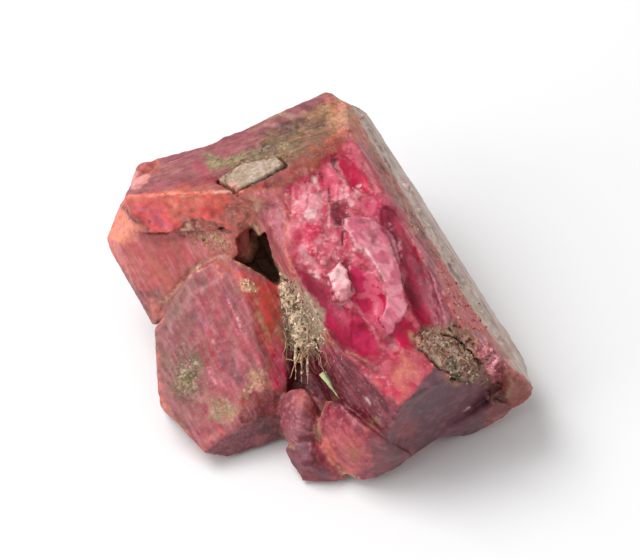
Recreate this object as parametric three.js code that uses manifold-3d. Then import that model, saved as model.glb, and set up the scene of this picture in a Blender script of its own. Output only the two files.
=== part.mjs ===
// A cluster of intergrown spinel crystals. A thick block with a broken front carries a flat
// plate and a wedge on its left, and a six-sided tablet leans against them in front.
// Crusts and slivers of other minerals sit in its cleft, on its top face and in its corner.
// Millimetres, +Z up, standing on its underside, origin under the middle of the cluster.
import * as THREE from "three";
import { ConvexGeometry } from "three/addons/geometries/ConvexGeometry.js";
import { mergeVertices } from "three/addons/utils/BufferGeometryUtils.js";
import Module from "manifold-3d";

const wasm = await Module();
wasm.setup();

const RAD = Math.PI / 180;

// Driving dimensions, in millimetres
const CORE_HEIGHT = 11; // height of the point that every face is measured from
const FOOT_HEIGHT = 0.4; // how far the tablet and the lumps stay off the ground
const SEAM = 0.3; // clear room around each piece that isn't spinel
const WELD = 1e-4; // corners closer than this are one corner
const SMALL_LUMP_DETAIL = 1;
const SMOOTH_LUMP_DETAIL = 2;
const GRAIN_CORNERS = 8;
const ROD_SIDES = 5;
const PIT_COUNT = 14;
const STREAM_STEP = 0x6d2b79f5;

const CORE = new THREE.Vector3(0, 0, CORE_HEIGHT);
const GROUND = [0, -90];
const TOWARD_FRONT = [-90, 50];
const OFF_FRONT = [-73, 69];

// Faces that more than one crystal shares: azimuth, elevation, distance from CORE
const TOP_FACE = [141, 73.5, 12.8];
const TOP_BEVEL = [-79, 77, 9.5];
const BROKEN_FACE = [-73, 69, 8.3];
const RIGHT_FACE = [18, 33, 12.2];
const END_FACE = [-58, -6, 17.4];
const BACK_RIGHT = [28, 15, 13.9];
const UNDERSIDE = [...GROUND, CORE_HEIGHT];
const BACK_FACE = [121.5, 34.5, 17.8];
const TABLET_FACE = [-106, 53, 3.3];
const DARK_FLANK = [-130.5, 6.5, 7.6];

// A repeatable stream of random numbers between 0 and 1.
function stream(seed) {
  let state = seed;
  return () => {
    state = (state + STREAM_STEP) | 0;
    let t = Math.imul(state ^ (state >>> 15), 1 | state);
    t = (t + Math.imul(t ^ (t >>> 7), 61 | t)) ^ t;
    return ((t ^ (t >>> 14)) >>> 0) / 4294967296;
  };
}

function direction(azimuth, elevation) {
  const a = azimuth * RAD;
  const e = elevation * RAD;
  return new THREE.Vector3(Math.cos(a) * Math.cos(e), Math.sin(a) * Math.cos(e), Math.sin(e));
}

// A flat face: the way it looks in degrees, and its distance from CORE.
function plane([azimuth, elevation, out]) {
  const normal = direction(azimuth, elevation);
  return new THREE.Plane(normal, -out - normal.dot(CORE));
}

// Every corner where three of the planes meet inside all the others.
function cornersOf(planes) {
  const corners = [];
  const m = new THREE.Matrix3();
  for (let i = 0; i < planes.length; i++)
    for (let j = i + 1; j < planes.length; j++)
      for (let k = j + 1; k < planes.length; k++) {
        const [p, q, s] = [planes[i], planes[j], planes[k]];
        m.set(...p.normal.toArray(), ...q.normal.toArray(), ...s.normal.toArray());
        if (Math.abs(m.determinant()) < WELD) continue;
        const corner = new THREE.Vector3(-p.constant, -q.constant, -s.constant).applyMatrix3(m.invert());
        if (planes.every((each) => each.distanceToPoint(corner) < WELD / 10)) corners.push(corner);
      }
  return corners;
}

function solidOf(geometry) {
  const bare = geometry.clone();
  bare.deleteAttribute("normal");
  bare.deleteAttribute("uv");
  const merged = mergeVertices(bare, WELD);
  const mesh = new wasm.Mesh({
    numProp: 3,
    vertProperties: merged.attributes.position.array,
    triVerts: new Uint32Array(merged.index.array),
  });
  return new wasm.Manifold(mesh);
}

// A convex crystal bounded by flat faces.
function crystal(faces) {
  return solidOf(new ConvexGeometry(cornersOf(Object.values(faces).map(plane))));
}

// The frame of a face: x across it, y up it, z out of it, starting under CORE.
function frameOn(face) {
  const { normal } = plane(face);
  const across = new THREE.Vector3(-normal.y, normal.x, 0).normalize();
  const up = normal.clone().cross(across);
  return new THREE.Matrix4()
    .makeBasis(across, up, normal)
    .setPosition(CORE.clone().addScaledVector(normal, face[2]));
}

// A flat layer on a face, from one height to another above it.
function layer(face, outline, low, high) {
  const shape = new THREE.Shape(outline.map(([x, y]) => new THREE.Vector2(x, y)));
  const sheet = new THREE.ExtrudeGeometry(shape, { depth: high - low, bevelEnabled: false });
  return solidOf(sheet.translate(0, 0, low).applyMatrix4(frameOn(face)));
}

// The outline moved out from its middle by a margin.
function grown(outline, margin) {
  const middle = [0, 1].map((i) => outline.reduce((sum, corner) => sum + corner[i], 0) / outline.length);
  return outline.map(([x, y]) => {
    const reach = Math.hypot(x - middle[0], y - middle[1]);
    const factor = (reach + margin * Math.SQRT2) / reach;
    return [middle[0] + (x - middle[0]) * factor, middle[1] + (y - middle[1]) * factor];
  });
}

// A bowl or mound on a face: an ellipsoid about a point on it, turned in the face.
function swell(face, [x, y], [long, wide, tall], turn, detail = SMOOTH_LUMP_DETAIL) {
  const ball = new THREE.IcosahedronGeometry(1, detail).scale(long, wide, tall);
  ball.rotateZ(turn * RAD).translate(x, y, 0);
  return solidOf(ball.applyMatrix4(frameOn(face)));
}

// A lump with dented sides: its middle, its three half-sizes, the way its long axis runs
// and the way its flat side looks.
function lump(form, room = 0) {
  const { at, size, along, facing = TOWARD_FRONT, seed, dent = 0.12, detail = SMALL_LUMP_DETAIL } = form;
  const random = stream(seed);
  const ball = mergeVertices(bareBall(detail), WELD);
  const position = ball.attributes.position;
  const point = new THREE.Vector3();
  for (let i = 0; i < position.count; i++) {
    point.fromBufferAttribute(position, i).multiplyScalar(1 - dent * random());
    point.multiply(new THREE.Vector3(size[0] + room, size[1] + room, size[2] + room));
    position.setXYZ(i, ...point.toArray());
  }
  const x = direction(...along);
  const z = direction(...facing);
  z.addScaledVector(x, -z.dot(x)).normalize();
  const pose = new THREE.Matrix4().makeBasis(x, z.clone().cross(x), z).setPosition(...at);
  return solidOf(ball.applyMatrix4(pose));
}

function bareBall(detail) {
  const ball = new THREE.IcosahedronGeometry(1, detail);
  ball.deleteAttribute("normal");
  ball.deleteAttribute("uv");
  return ball;
}

// A blunt form with flat sides, given by its corners.
function boulder(corners) {
  return solidOf(new ConvexGeometry(corners.map((corner) => new THREE.Vector3(...corner))));
}

// One angular grain: the hull of a few points on a ball, a little flattened.
function grain(random, at, radius, room = 0) {
  const corners = [];
  for (let i = 0; i < GRAIN_CORNERS; i++) {
    const fromPole = Math.acos(1 - 2 * random());
    corners.push(new THREE.Vector3().setFromSphericalCoords(1, fromPole, 2 * Math.PI * random()));
  }
  const reach = radius + room;
  const hull = new ConvexGeometry(corners).scale(reach, reach, reach * (0.6 + 0.4 * random()));
  hull.rotateX(random() * Math.PI).rotateZ(random() * Math.PI).translate(...at);
  return solidOf(hull);
}

// Grains strewn on a face along a line, spread to both sides of it and half sunk.
function grainsAlong({ face, from, to, spread, count, radius, seed, sink = 0 }, room = 0) {
  const random = stream(seed);
  const frame = frameOn(face);
  const grains = [];
  for (let i = 0; i < count; i++) {
    const t = (i + random()) / count;
    const x = THREE.MathUtils.lerp(from[0], to[0], t) + spread * (2 * random() - 1);
    const y = THREE.MathUtils.lerp(from[1], to[1], t) + spread * (2 * random() - 1);
    const at = new THREE.Vector3(x, y, -sink * radius).applyMatrix4(frame);
    grains.push(grain(random, at.toArray(), radius * (0.6 + 0.8 * random()), room));
  }
  return union(grains);
}

// A thin five-sided rod between two points, with a radius at each end.
function rod(from, to, startRadius, endRadius, room = 0) {
  const a = new THREE.Vector3(...from);
  const b = new THREE.Vector3(...to);
  const length = a.distanceTo(b) + 2 * room;
  const bar = new THREE.CylinderGeometry(endRadius + room, startRadius + room, length, ROD_SIDES);
  const along = b.clone().sub(a).normalize();
  const turn = new THREE.Quaternion().setFromUnitVectors(new THREE.Vector3(0, 1, 0), along);
  const middle = a.add(b).multiplyScalar(0.5);
  return solidOf(bar.applyQuaternion(turn).translate(...middle.toArray()));
}

// A rod that tapers to its end.
function splinter(from, to, radius, room = 0) {
  return rod(from, to, radius, radius * 0.45, room);
}

function union(solids) {
  return wasm.Manifold.union(solids);
}

// The main body of a solid, without crumbs that the cuts left loose.
function mainBody(solid) {
  return solid.decompose().sort((a, b) => b.volume() - a.volume())[0];
}

function thickBlock() {
  return crystal({
    top: TOP_FACE,
    topBevel: TOP_BEVEL,
    front: BROKEN_FACE,
    rightBevel: [13, 40, 11.7],
    right: RIGHT_FACE,
    end: END_FACE,
    leftBevel: [-136.5, 51.5, 8.6],
    leftFlank: [-152.5, -3, 3.6],
    lowerFlank: DARK_FLANK,
    back: BACK_FACE,
    backRight: BACK_RIGHT,
    corner: [7, -2, 19.9],
    foot: [-73, -44.5, 18.2],
    footLeft: [-45, -37, 18.8],
    under: UNDERSIDE,
    backLeft: [170, -10, 4.2],
    backLow: [110, -30, 15],
    topRight: [52, 38, 17.4],
  });
}

function topPlate() {
  return crystal({
    top: TOP_FACE,
    topBevel: TOP_BEVEL,
    broken: BROKEN_FACE,
    back: BACK_FACE,
    front: [-102, 7, -0.1],
    left: [165.5, 11.5, 21],
    leftCut: [-165, -8.5, 16],
    under: [-82.5, -51.5, -6.8],
    backLow: [121.5, -30, 14],
    innerEnd: [0, 0, -2],
  });
}

function wedge() {
  return crystal({
    front: [-118.5, 33, 4.6],
    leftBevel: [-146, 8.5, 13.8],
    upperLeft: [-173, 43, 14.8],
    top: [141, 73.5, 11.3],
    back: [158, 16.5, 22.3],
    behind: [105, 30, 17],
    underLeft: [-158.5, -25.5, 16.6],
    right: [-39, -32, -8],
    under: [-107, -51, 7.3],
    backLow: [121.5, -40, 14],
    innerEnd: [0, 0, -3],
  });
}

function tablet() {
  return crystal({
    front: TABLET_FACE,
    right: [-34.5, 49, -2.3],
    darkFacet: [-60.5, 33, 2.5],
    foot: [-67, 5.5, 7.5],
    lowerLeft: [-142, -22, 19.6],
    left: [-175, 0, 16.7],
    upperLeft: [150.5, 13, 11.7],
    top: [123.5, 30, 7.3],
    upperRight: [75, 12.5, -0.4],
    under: [-122, -46.5, 18.7],
    footUnder: [-63.5, -50, 14],
    behind: [74, -53, 4],
    inner: [-12, 2, -1.6],
    ground: [...GROUND, CORE_HEIGHT - FOOT_HEIGHT],
  });
}

function rootMass() {
  return crystal({
    front: [-102, 62.5, -2.7],
    top: [141, 73.5, 7],
    left: [-165, 0, 14],
    back: [121, -5, 14.5],
    right: [0, 0, 6],
    backRight: [75, -5, 10],
    lowFront: [-90, 10, 9],
    leftLow: [-140, -30, 15],
    under: [...GROUND, CORE_HEIGHT - 2 * FOOT_HEIGHT],
  });
}

// The block's lower front corner, worn round into a tongue.
const TONGUE = [
  [0.5, -10.5, 6.6], [0, -12.6, 6.2], [0, -13.5, 5.2], [0.3, -14.4, 3.9], [0.9, -15, 2.9],
  [1.7, -15.6, 2], [2.8, -16.1, 1.3], [4.1, -16.4, 0.9], [1.9, -12.5, 8.7], [1.4, -14.3, 7],
  [2.1, -15.8, 5.5], [3.1, -15.1, 8.4], [4.1, -16.5, 6.9], [4.1, -16.7, 3.2], [5, -16, 8.8],
  [6.3, -16.6, 7.9], [7.1, -16.5, 5.6], [7.2, -15.7, 2], [5.7, -16.1, 1], [9.3, -14.8, 3],
  [0.6, -9.8, 3.8], [0.2, -11.8, 1.5], [6.5, -11.5, 1.1],
];
// The two lumps below the cleft, left of the tongue.
const UPPER_LUMP = [
  [-3.7, -9.6, 5.9], [-4.1, -10.7, 4.8], [-3.9, -11.8, 3.6], [-3.3, -12.7, 2.8], [-2.5, -13.5, 2.5],
  [-0.9, -13.8, 3.4], [-0.2, -13.3, 3.8], [-0.2, -12.3, 5.5], [-0.7, -11, 7.3], [-1.4, -10, 7.9],
  [-2.8, -9.5, 7], [-2.9, -11.5, 6.4], [-1.8, -11.8, 7.4], [-1.1, -12.7, 6.5], [-2, -13.4, 5.7],
  [-2.9, -12.8, 4.9], [-2, -8.4, 1.1], [-2.8, -7.7, 3], [0.4, -11.9, 2.1], [0.4, -10.2, 3.5],
];
const LOWER_LUMP = [
  [-3.4, -13.4, 2.1], [-3, -14.4, 1.6], [-2.4, -15.2, 1], [-1.7, -16.1, 0.5], [0, -16.2, 0.3],
  [3, -16, 0.4], [-2.9, -13.5, 3.1], [-0.8, -13.6, 4], [0.6, -14.1, 3.4], [-1.8, -15.6, 3.3],
  [-0.2, -16.1, 3], [1.4, -16.2, 2.1], [-0.8, -14.8, 4], [-1.5, -11.9, 2.3], [0.6, -12.4, 2.5],
  [-2, -12.1, 0.3], [1.5, -13, 0.3],
];
// The knob that closes the right end, and the low shelf under the end face.
const KNOB = [
  [17.9, -10, 11.5], [18.6, -8.9, 10.5], [19.7, -4.3, 6.6], [20.5, -6.3, 6.3], [21, -9.6, 7.2],
  [20.9, -9.6, 6.2], [20.1, -10, 5.4], [19.1, -10.3, 4.7], [18.5, -10.5, 6.1], [18, -10.6, 8.4],
  [18.9, -11, 9.6], [19.7, -10, 9.7], [18, -6.9, 5], [19.6, -7.4, 3.2], [20.4, -6.9, 5],
  [19.9, -2.5, 3.4], [18.2, -9.3, 4.1], [17.9, -7.9, 4.2],
];
const SHELF = [
  [11.7, -12, 1.9], [13, -10.4, 0.5], [14.3, -10.2, 0.2], [15.3, -10.1, 0.2], [16.9, -9.6, 0.7],
  [18.4, -9.1, 1.8], [19.3, -9.3, 3.5], [12.4, -12.3, 3.9], [14.7, -11.7, 4.1], [16.6, -11, 5.2],
  [18, -10.4, 6], [14.2, -7.6, 0.3], [17.3, -6, 0.5], [14.5, -11, 4.4], [16.4, -10.2, 5.4],
  [17.4, -9.8, 6.1], [18.2, -9, 6.2], [17.8, -6.1, 3.1], [19.2, -8.3, 5.1],
];

// Blunt outgrowths: the nub behind the plate, the swollen end of the wedge, the tongue, the
// lumps, the knob and the shelf.
function outgrowths() {
  return union([
    lump({ at: [-17.6, 11.6, 15.8], size: [1.6, 1, 1.2], along: [8, 6], seed: 3, dent: 0.25 }),
    lump({ at: [-7.6, 3.7, 12.8], size: [2, 1.4, 1.6], along: [53, 34], seed: 4 }),
    ...[TONGUE, UPPER_LUMP, LOWER_LUMP, KNOB, SHELF].map(boulder),
  ]);
}

// The cleft between the block, the wedge and the tablet: a deep pocket with a wider mouth.
function cleft() {
  const pocket = [
    [-7.2, 1, 19.4], [-6.5, 1, 19.4], [-5.7, -0.1, 18.5], [-4.8, -1.1, 17.7], [-3.9, -2.2, 16.7],
    [-3.6, -2.8, 16.2], [-3.9, -3.9, 15.3], [-6.2, -2.5, 16.5], [-6.9, -1.9, 17],
    [-7.1, 7.6, 11.3], [-5.9, 6.4, 10.2], [-4.5, 4.4, 8.6], [-4.4, 3.3, 7.7], [-6.3, 4.6, 8.7],
    [-6.9, 5.4, 9.4],
  ];
  const mouth = [
    [-8.5, 0.2, 18.8], [-7.2, 1, 19.4], [-6.4, 0.9, 19.4], [-6.2, -1.9, 17], [-7.1, -2, 16.9],
    [-8, -1.6, 17.3], [-8.2, 3.4, 14.6], [-7.3, 4.1, 15.2], [-6.6, 3.9, 15.1], [-6.5, 1.9, 13.4],
    [-7.4, 1.8, 13.3], [-8, 2.2, 13.6],
  ];
  return union([pocket, mouth].map(boulder));
}

// The broken front: bowls left where flakes came away.
function flakeBowls() {
  return union([
    swell(BROKEN_FACE, [-1.6, -3.2], [6.5, 1.7, 1.1], -75),
    swell(BROKEN_FACE, [1.2, -8.8], [3.6, 1.9, 1.2], -25),
    swell(BROKEN_FACE, [7.6, -3.2], [7.6, 1.5, 1.3], -84),
    swell(BROKEN_FACE, [4.8, 8], [3, 1, 0.9], -60),
    swell(BROKEN_FACE, [2.6, -5], [3.6, 1.2, 0.9], -72),
    swell(BROKEN_FACE, [6, -9.6], [2, 1.4, 0.9], -30),
    swell(END_FACE, [10.2, -3.6], [1.7, 0.8, 1.2], -60),
  ]);
}

// The layers still standing on the broken front.
function standingFlakes() {
  const palePlate = [
    [3.3, 4], [5.2, 3], [6.4, 0.6], [6.5, -3.2], [6.2, -6.3], [5.3, -7.6], [3.8, -8.1],
    [3, -6.9], [4.1, -4.7], [3.9, -2.6], [2.4, -0.8], [2.4, 1], [2.5, 3.1],
  ];
  const tooth = [[1, -0.5], [1.4, -2.5], [1.3, -3.7], [0.1, -4.3], [-0.3, -3.1], [-0.3, -1.2]];
  const leftFlake = [[-1.6, 6.2], [0.4, 7.4], [1.8, 5.2], [1.4, 1.6], [0, -0.2], [-1.8, 1.4]];
  return union([
    layer(BROKEN_FACE, palePlate, -2, 0.35),
    layer(BROKEN_FACE, tooth, -2, 0.5),
    layer(BROKEN_FACE, leftFlake, -2, 0.25),
  ]);
}

// Cracks where one crystal meets the next: under the plate's ledge and behind the tablet.
function seams() {
  const underLedge = [
    [-18.9, 6.4, 14.2], [-17.1, 5, 13.7], [-14, 4.3, 15.1], [-11.4, 3.9, 16.3], [-8.7, 2.7, 16.7],
  ];
  const behindTablet = [
    [-16.4, -0.7, 6.5], [-15.6, 0.5, 8.6], [-13.5, 1.3, 11.2],
    [-11.8, 1.7, 13.1], [-9.7, 1.6, 14.5], [-8.3, 1, 14.8],
  ];
  return union([groove(underLedge, 0.3), groove(behindTablet, 0.25)]);
}

function groove(points, radius) {
  return union(points.slice(1).map((point, i) => rod(points[i], point, radius, radius)));
}

// Worn and broken places on the sides that face away and down.
function hiddenBreaks() {
  return union([
    swell(BACK_FACE, [-3, -4], [5, 2.2, 0.9], 20, SMALL_LUMP_DETAIL),
    swell(BACK_FACE, [4, -7], [3, 1.6, 0.7], -35, SMALL_LUMP_DETAIL),
    swell(BACK_RIGHT, [3, -6], [6, 2.4, 1], 12, SMALL_LUMP_DETAIL),
    swell(BACK_RIGHT, [-7, -9], [3.4, 1.8, 0.8], -20, SMALL_LUMP_DETAIL),
    swell(UNDERSIDE, [-6, -9], [5, 3, 0.9], 30, SMALL_LUMP_DETAIL),
    swell(UNDERSIDE, [7, 7], [4, 2.4, 0.8], -20, SMALL_LUMP_DETAIL),
  ]);
}

// Growth steps on the flat faces.
function growthSteps() {
  const topSteps = [
    [[-6.8, -10], [-7.8, -6.2], [-11.2, -3.4], [-13.2, -5.2], [-12.9, -7.3]],
    [[-8.6, -9.1], [-9.4, -6.6], [-11.8, -4.6], [-12.9, -5.6], [-12.5, -7.2]],
  ];
  const tabletStep = [[-9.2, -1.2], [-12, -3.6], [-13.6, -8], [-11.4, -12.6], [-8.6, -9], [-7.4, -3.4]];
  return union([
    layer(TOP_FACE, topSteps[0], -1, 0.22),
    layer(TOP_FACE, topSteps[1], -1, 0.45),
    layer(TABLET_FACE, tabletStep, -1, 0.12),
  ]);
}

// Long pits etched along the right face.
function etchPits() {
  const random = stream(21);
  const pits = [];
  for (let i = 0; i < PIT_COUNT; i++) {
    const t = i / (PIT_COUNT - 1);
    const x = THREE.MathUtils.lerp(12.4, -12.6, t);
    const y = THREE.MathUtils.lerp(0.6, -11.2, t) + 2.4 * (random() - 0.5);
    const size = [0.9 + random(), 0.28, 0.35];
    pits.push(swell(RIGHT_FACE, [x, y], size, 24 + 10 * random(), SMALL_LUMP_DETAIL));
  }
  return union(pits);
}

// Strips of loose grains, each along a line on a face
const GRAIN_STRIPS = [
  { face: BROKEN_FACE, from: [0.4, 9], to: [-0.4, -4], spread: 1.3, count: 32, radius: 0.62, seed: 31 },
  { face: RIGHT_FACE, from: [12.6, 3.5], to: [-12.6, -9.4], spread: 0.4, count: 34, radius: 0.5, seed: 32 },
  { face: TOP_FACE, from: [-12, -3.4], to: [-2, -9.4], spread: 0.9, count: 18, radius: 0.35, seed: 33 },
  {
    face: BROKEN_FACE, from: [11.8, -11.2], to: [12.6, -14.4],
    spread: 0.8, count: 14, radius: 0.7, seed: 34,
  },
];
const PATCH_BODY = { at: [12.6, -11, 13.7], size: [3.5, 1.7, 1.1], along: [-26, -20] };
const PATCH_GRAINS = {
  face: BROKEN_FACE, from: [6.8, -9.8], to: [10.8, -14.4],
  spread: 1, count: 22, radius: 0.75, seed: 51, sink: 0.8,
};

function looseGrains() {
  return union(GRAIN_STRIPS.map((strip) => grainsAlong(strip)));
}

// The grey-green crust in the cleft: matted grains with splinters trailing down from it.
function cleftCrust(room = 0) {
  const random = stream(41);
  const parts = [
    lump({ at: [-2.9, -2.6, 12.6], size: [2, 1.1, 0.9], along: [-62, -34], seed: 42 }, room),
    lump({ at: [-1.4, -5.6, 11.3], size: [2.4, 1.7, 1.1], along: [-52, -40], seed: 43 }, room),
  ];
  for (let i = 0; i < 13; i++) {
    const t = random();
    const from = [-3.4 + 3 * t, -1.6 - 5.2 * t, 13.6 - 2.6 * t];
    const to = [from[0] + 1.6 * random(), from[1] - 2.4 * random(), from[2] - 2.2 * random() + 0.6];
    parts.push(splinter(from, to, 0.16, room));
  }
  for (let i = 0; i < 5; i++) {
    const from = [-3 + 0.6 * i, -6.4 - 0.3 * i, 10.4];
    const to = [-3 + 0.6 * i, -9 - 0.5 * random(), 7.4 + 0.6 * random()];
    parts.push(splinter(from, to, 0.22, room));
  }
  return union(parts);
}

// Olive-grey matrix crumbling out of the corner between the broken face and the end.
function matrixPatch(room = 0) {
  return union([
    lump({ ...PATCH_BODY, facing: OFF_FRONT, seed: 52 }, room),
    grainsAlong(PATCH_GRAINS, room),
  ]);
}

// A pale lath lying in the top face.
function paleLath(room = 0) {
  const outline = [[1.9, -7.9], [2.3, -5.1], [-2.6, -3.3], [-3.2, -4.7], [-0.9, -7.3]];
  return layer(TOP_FACE, grown(outline, room), -0.5 - room, 0.4 + room);
}

// A green splinter standing on the dark flank.
function greenSliver(room = 0) {
  return splinter([0.2, -9.6, 9.6], [1.9, -11.8, 8.2], 0.45, room);
}

function geometryOf(solid) {
  const mesh = solid.getMesh();
  return new THREE.BufferGeometry()
    .setAttribute("position", new THREE.BufferAttribute(new Float32Array(mesh.vertProperties), 3))
    .setIndex(new THREE.BufferAttribute(new Uint32Array(mesh.triVerts), 1));
}

function material(color, roughness) {
  return new THREE.MeshStandardMaterial({ color, roughness, metalness: 0 });
}

const inclusions = {
  cleft_crust: [cleftCrust, material(0x8b8868, 0.85)],
  matrix_patch: [matrixPatch, material(0x6b6050, 0.85)],
  pale_lath: [paleLath, material(0xa2946f, 0.6)],
  green_sliver: [greenSliver, material(0x9fb885, 0.5)],
};

function spinelCluster() {
  const crystals = union([thickBlock(), topPlate(), wedge(), tablet(), rootMass()]);
  const grown = union([crystals.subtract(cleft()), outgrowths()]);
  const broken = grown.subtract(union([flakeBowls(), etchPits(), seams(), hiddenBreaks()]));
  const rough = union([broken, standingFlakes(), growthSteps(), looseGrains()]);
  const rooms = union(Object.values(inclusions).map(([build]) => build(SEAM)));
  return mainBody(rough.subtract(rooms).trimByPlane([0, 0, 1], 0));
}

const solids = { spinel_cluster: spinelCluster() };
const materials = { spinel_cluster: material(0xa54d5b, 0.42) };
for (const [name, [build, paint]] of Object.entries(inclusions)) {
  solids[name] = mainBody(build());
  materials[name] = paint;
}

const { min, max } = union(Object.values(solids)).boundingBox();
const group = new THREE.Group();
for (const [name, solid] of Object.entries(solids)) {
  const centred = solid.translate([-(min[0] + max[0]) / 2, -(min[1] + max[1]) / 2, -min[2]]);
  const mesh = new THREE.Mesh(geometryOf(centred), materials[name]);
  mesh.name = name;
  group.add(mesh);
}
export default group;
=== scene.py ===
"""A cluster of intergrown spinel crystals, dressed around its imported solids.

The cluster's solid is copied into a fine skin. Each area of the skin gets its own tint, grit,
gloss and glint, which a stone finish reads, and then the skin is chipped, ribbed and roughened.
The crust, the matrix, the lath and the sliver get fine skins too, and loose grains and hairs lie
on the stone. Lengths are millimetres, and become metres where Blender takes them.
"""

import math

import bpy
import numpy as np
from mathutils import Matrix, Vector
from mathutils.bvhtree import BVHTree


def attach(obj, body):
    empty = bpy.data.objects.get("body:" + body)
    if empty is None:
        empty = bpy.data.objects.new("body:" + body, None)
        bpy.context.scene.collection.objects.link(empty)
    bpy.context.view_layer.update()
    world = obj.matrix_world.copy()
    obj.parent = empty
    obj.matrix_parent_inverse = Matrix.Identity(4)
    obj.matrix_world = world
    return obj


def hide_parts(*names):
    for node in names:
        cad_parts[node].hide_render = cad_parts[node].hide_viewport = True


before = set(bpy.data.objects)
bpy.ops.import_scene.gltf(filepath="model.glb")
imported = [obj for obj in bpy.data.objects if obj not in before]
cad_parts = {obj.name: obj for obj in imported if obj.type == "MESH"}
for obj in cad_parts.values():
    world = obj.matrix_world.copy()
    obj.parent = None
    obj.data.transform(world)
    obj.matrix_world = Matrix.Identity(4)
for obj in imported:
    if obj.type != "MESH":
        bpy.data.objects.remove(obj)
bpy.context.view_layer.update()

MM = 0.001

# ---------------------------------------------------------------- the view
VIEW_WIDTH, VIEW_HEIGHT = 640, 560  # the picture that the camera takes
SENSOR = 36.0
FOCAL = 2500.0  # distance at which one step of the picture is one millimetre
TILT = math.radians(50)  # how far down the camera looks
STAND_OFF = 250.0
AIM = np.array([0.456, -1.894, 11.4])  # what the camera and the windows look at
ACROSS = np.array([1.0, 0.0, 0.0])
UPWARD = np.array([0.0, math.sin(TILT), math.cos(TILT)])
TOWARD = np.array([0.0, -math.cos(TILT), math.sin(TILT)])
EYE = AIM + STAND_OFF * TOWARD


def in_view(points):
    """Where points show in the picture: x to the right, y down."""
    q = points - AIM
    scale = FOCAL / (STAND_OFF - q @ TOWARD)
    return VIEW_WIDTH / 2 + q @ ACROSS * scale, VIEW_HEIGHT / 2 - q @ UPWARD * scale


def sight(x, y):
    """The direction from the eye through a place of the picture."""
    ray = (x - VIEW_WIDTH / 2) * ACROSS + (VIEW_HEIGHT / 2 - y) * UPWARD - FOCAL * TOWARD
    return ray / np.linalg.norm(ray)


def place_camera():
    """A long lens that looks at the cluster from in front and above."""
    data = bpy.data.cameras.new("camera")
    data.sensor_width = SENSOR
    data.lens = FOCAL / VIEW_WIDTH * SENSOR
    data.clip_start, data.clip_end = 0.01, 10
    camera = bpy.data.objects.new("camera", data)
    bpy.context.scene.collection.objects.link(camera)
    turn = Matrix(np.column_stack([ACROSS, UPWARD, TOWARD]).tolist()).to_4x4()
    camera.matrix_world = Matrix.Translation(Vector(EYE * MM)) @ turn
    bpy.context.scene.camera = camera


SKY_STRENGTH = 0.53
WINDOW_AWAY, WINDOW_SIZE = 450, 260


def soft_light(name, azimuth, height, power):
    """A square soft box that looks at the cluster, from a compass way and a height in degrees."""
    data = bpy.data.lights.new(name, "AREA")
    data.shape = "SQUARE"
    data.size = WINDOW_SIZE * MM
    data.energy = power
    lamp = bpy.data.objects.new(name, data)
    bpy.context.scene.collection.objects.link(lamp)
    way = Vector(compass(azimuth, height))
    lamp.location = (Vector(AIM) + WINDOW_AWAY * way) * MM
    lamp.rotation_mode = "QUATERNION"
    lamp.rotation_quaternion = way.to_track_quat("Z", "Y")


def light_the_stage():
    """Even light from all around, and two soft windows on the left."""
    world = bpy.data.worlds.new("studio")
    bpy.context.scene.world = world
    world.use_nodes = True
    background = world.node_tree.nodes["Background"]
    background.inputs["Color"].default_value = (1, 1, 1, 1)
    background.inputs["Strength"].default_value = SKY_STRENGTH
    soft_light("high_window", azimuth=160, height=60, power=1.5)
    soft_light("side_window", azimuth=208, height=35, power=0.55)
    bpy.context.scene.view_settings.view_transform = "Standard"


# ---------------------------------------------------------------- noise in the stone
def scrambled(cells, seed):
    """A repeatable number from 0 to 1 for each whole cell."""
    x, y, z = (cells[..., i].astype(np.int64).astype(np.uint32) for i in range(3))
    h = x * np.uint32(0x8DA6B343) ^ y * np.uint32(0xD8163841) ^ z * np.uint32(0xCB1AB31F)
    h ^= np.uint32(seed * 0x9E3779B1 & 0xFFFFFFFF)
    for shift, factor in ((15, 0x2C1B3C6D), (12, 0x297A2D39)):
        h = (h ^ (h >> np.uint32(shift))) * np.uint32(factor)
    return (h ^ (h >> np.uint32(15))) / 2.0**32


OCTAVES = 2  # layers of smooth noise, each half as large and half as strong as the last
# the corners of a unit cell, and the steps to the cells around one
CORNERS = [np.array([i, j, k]) for i in (0, 1) for j in (0, 1) for k in (0, 1)]
AROUND = [np.array([i, j, k]) for i in (-1, 0, 1) for j in (-1, 0, 1) for k in (-1, 0, 1)]


def clouds(points, size, seed):
    """Smooth noise from about -1 to 1, its lumps about size across."""
    total, weight = 0.0, 1.0
    for octave in range(OCTAVES):
        q = points / size * 2**octave + 17.3 * octave
        cell = np.floor(q)
        f = q - cell
        f = f * f * f * (f * (f * 6 - 15) + 10)
        for corner in CORNERS:
            share = np.prod(np.where(corner, f, 1 - f), axis=-1)
            total = total + weight * share * (scrambled(cell + corner, seed + octave) * 2 - 1)
        weight *= 0.5
    return total


def chipping(points, size, seed):
    """A chipped surface: the lowest of many small tilted bowls, and a shade for each of them."""
    q = points / size
    cell = np.floor(q)
    lowest = np.full(len(q), 9.0)
    shade = np.zeros(len(q))
    for step in AROUND:
        at = cell + step
        seedling = at + np.stack([scrambled(at, seed + i) for i in range(3)], -1)
        lean = np.stack([scrambled(at, seed + 3 + i) for i in range(3)], -1) * 2 - 1
        away = q - seedling
        height = 0.25 * (away**2).sum(-1) + 0.5 * (lean * away).sum(-1)
        height += 0.3 * scrambled(at, seed + 6)
        shade = np.where(height < lowest, scrambled(at, seed + 7) * 2 - 1, shade)
        lowest = np.minimum(lowest, height)
    return lowest * size, shade


def chips(points, size, seed):
    """How high a chipped surface stands."""
    return chipping(points, size, seed)[0]


def facets(points, size, seed):
    """A shade from -1 to 1 for each chip of the same surface."""
    return chipping(points, size, seed)[1]


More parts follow.
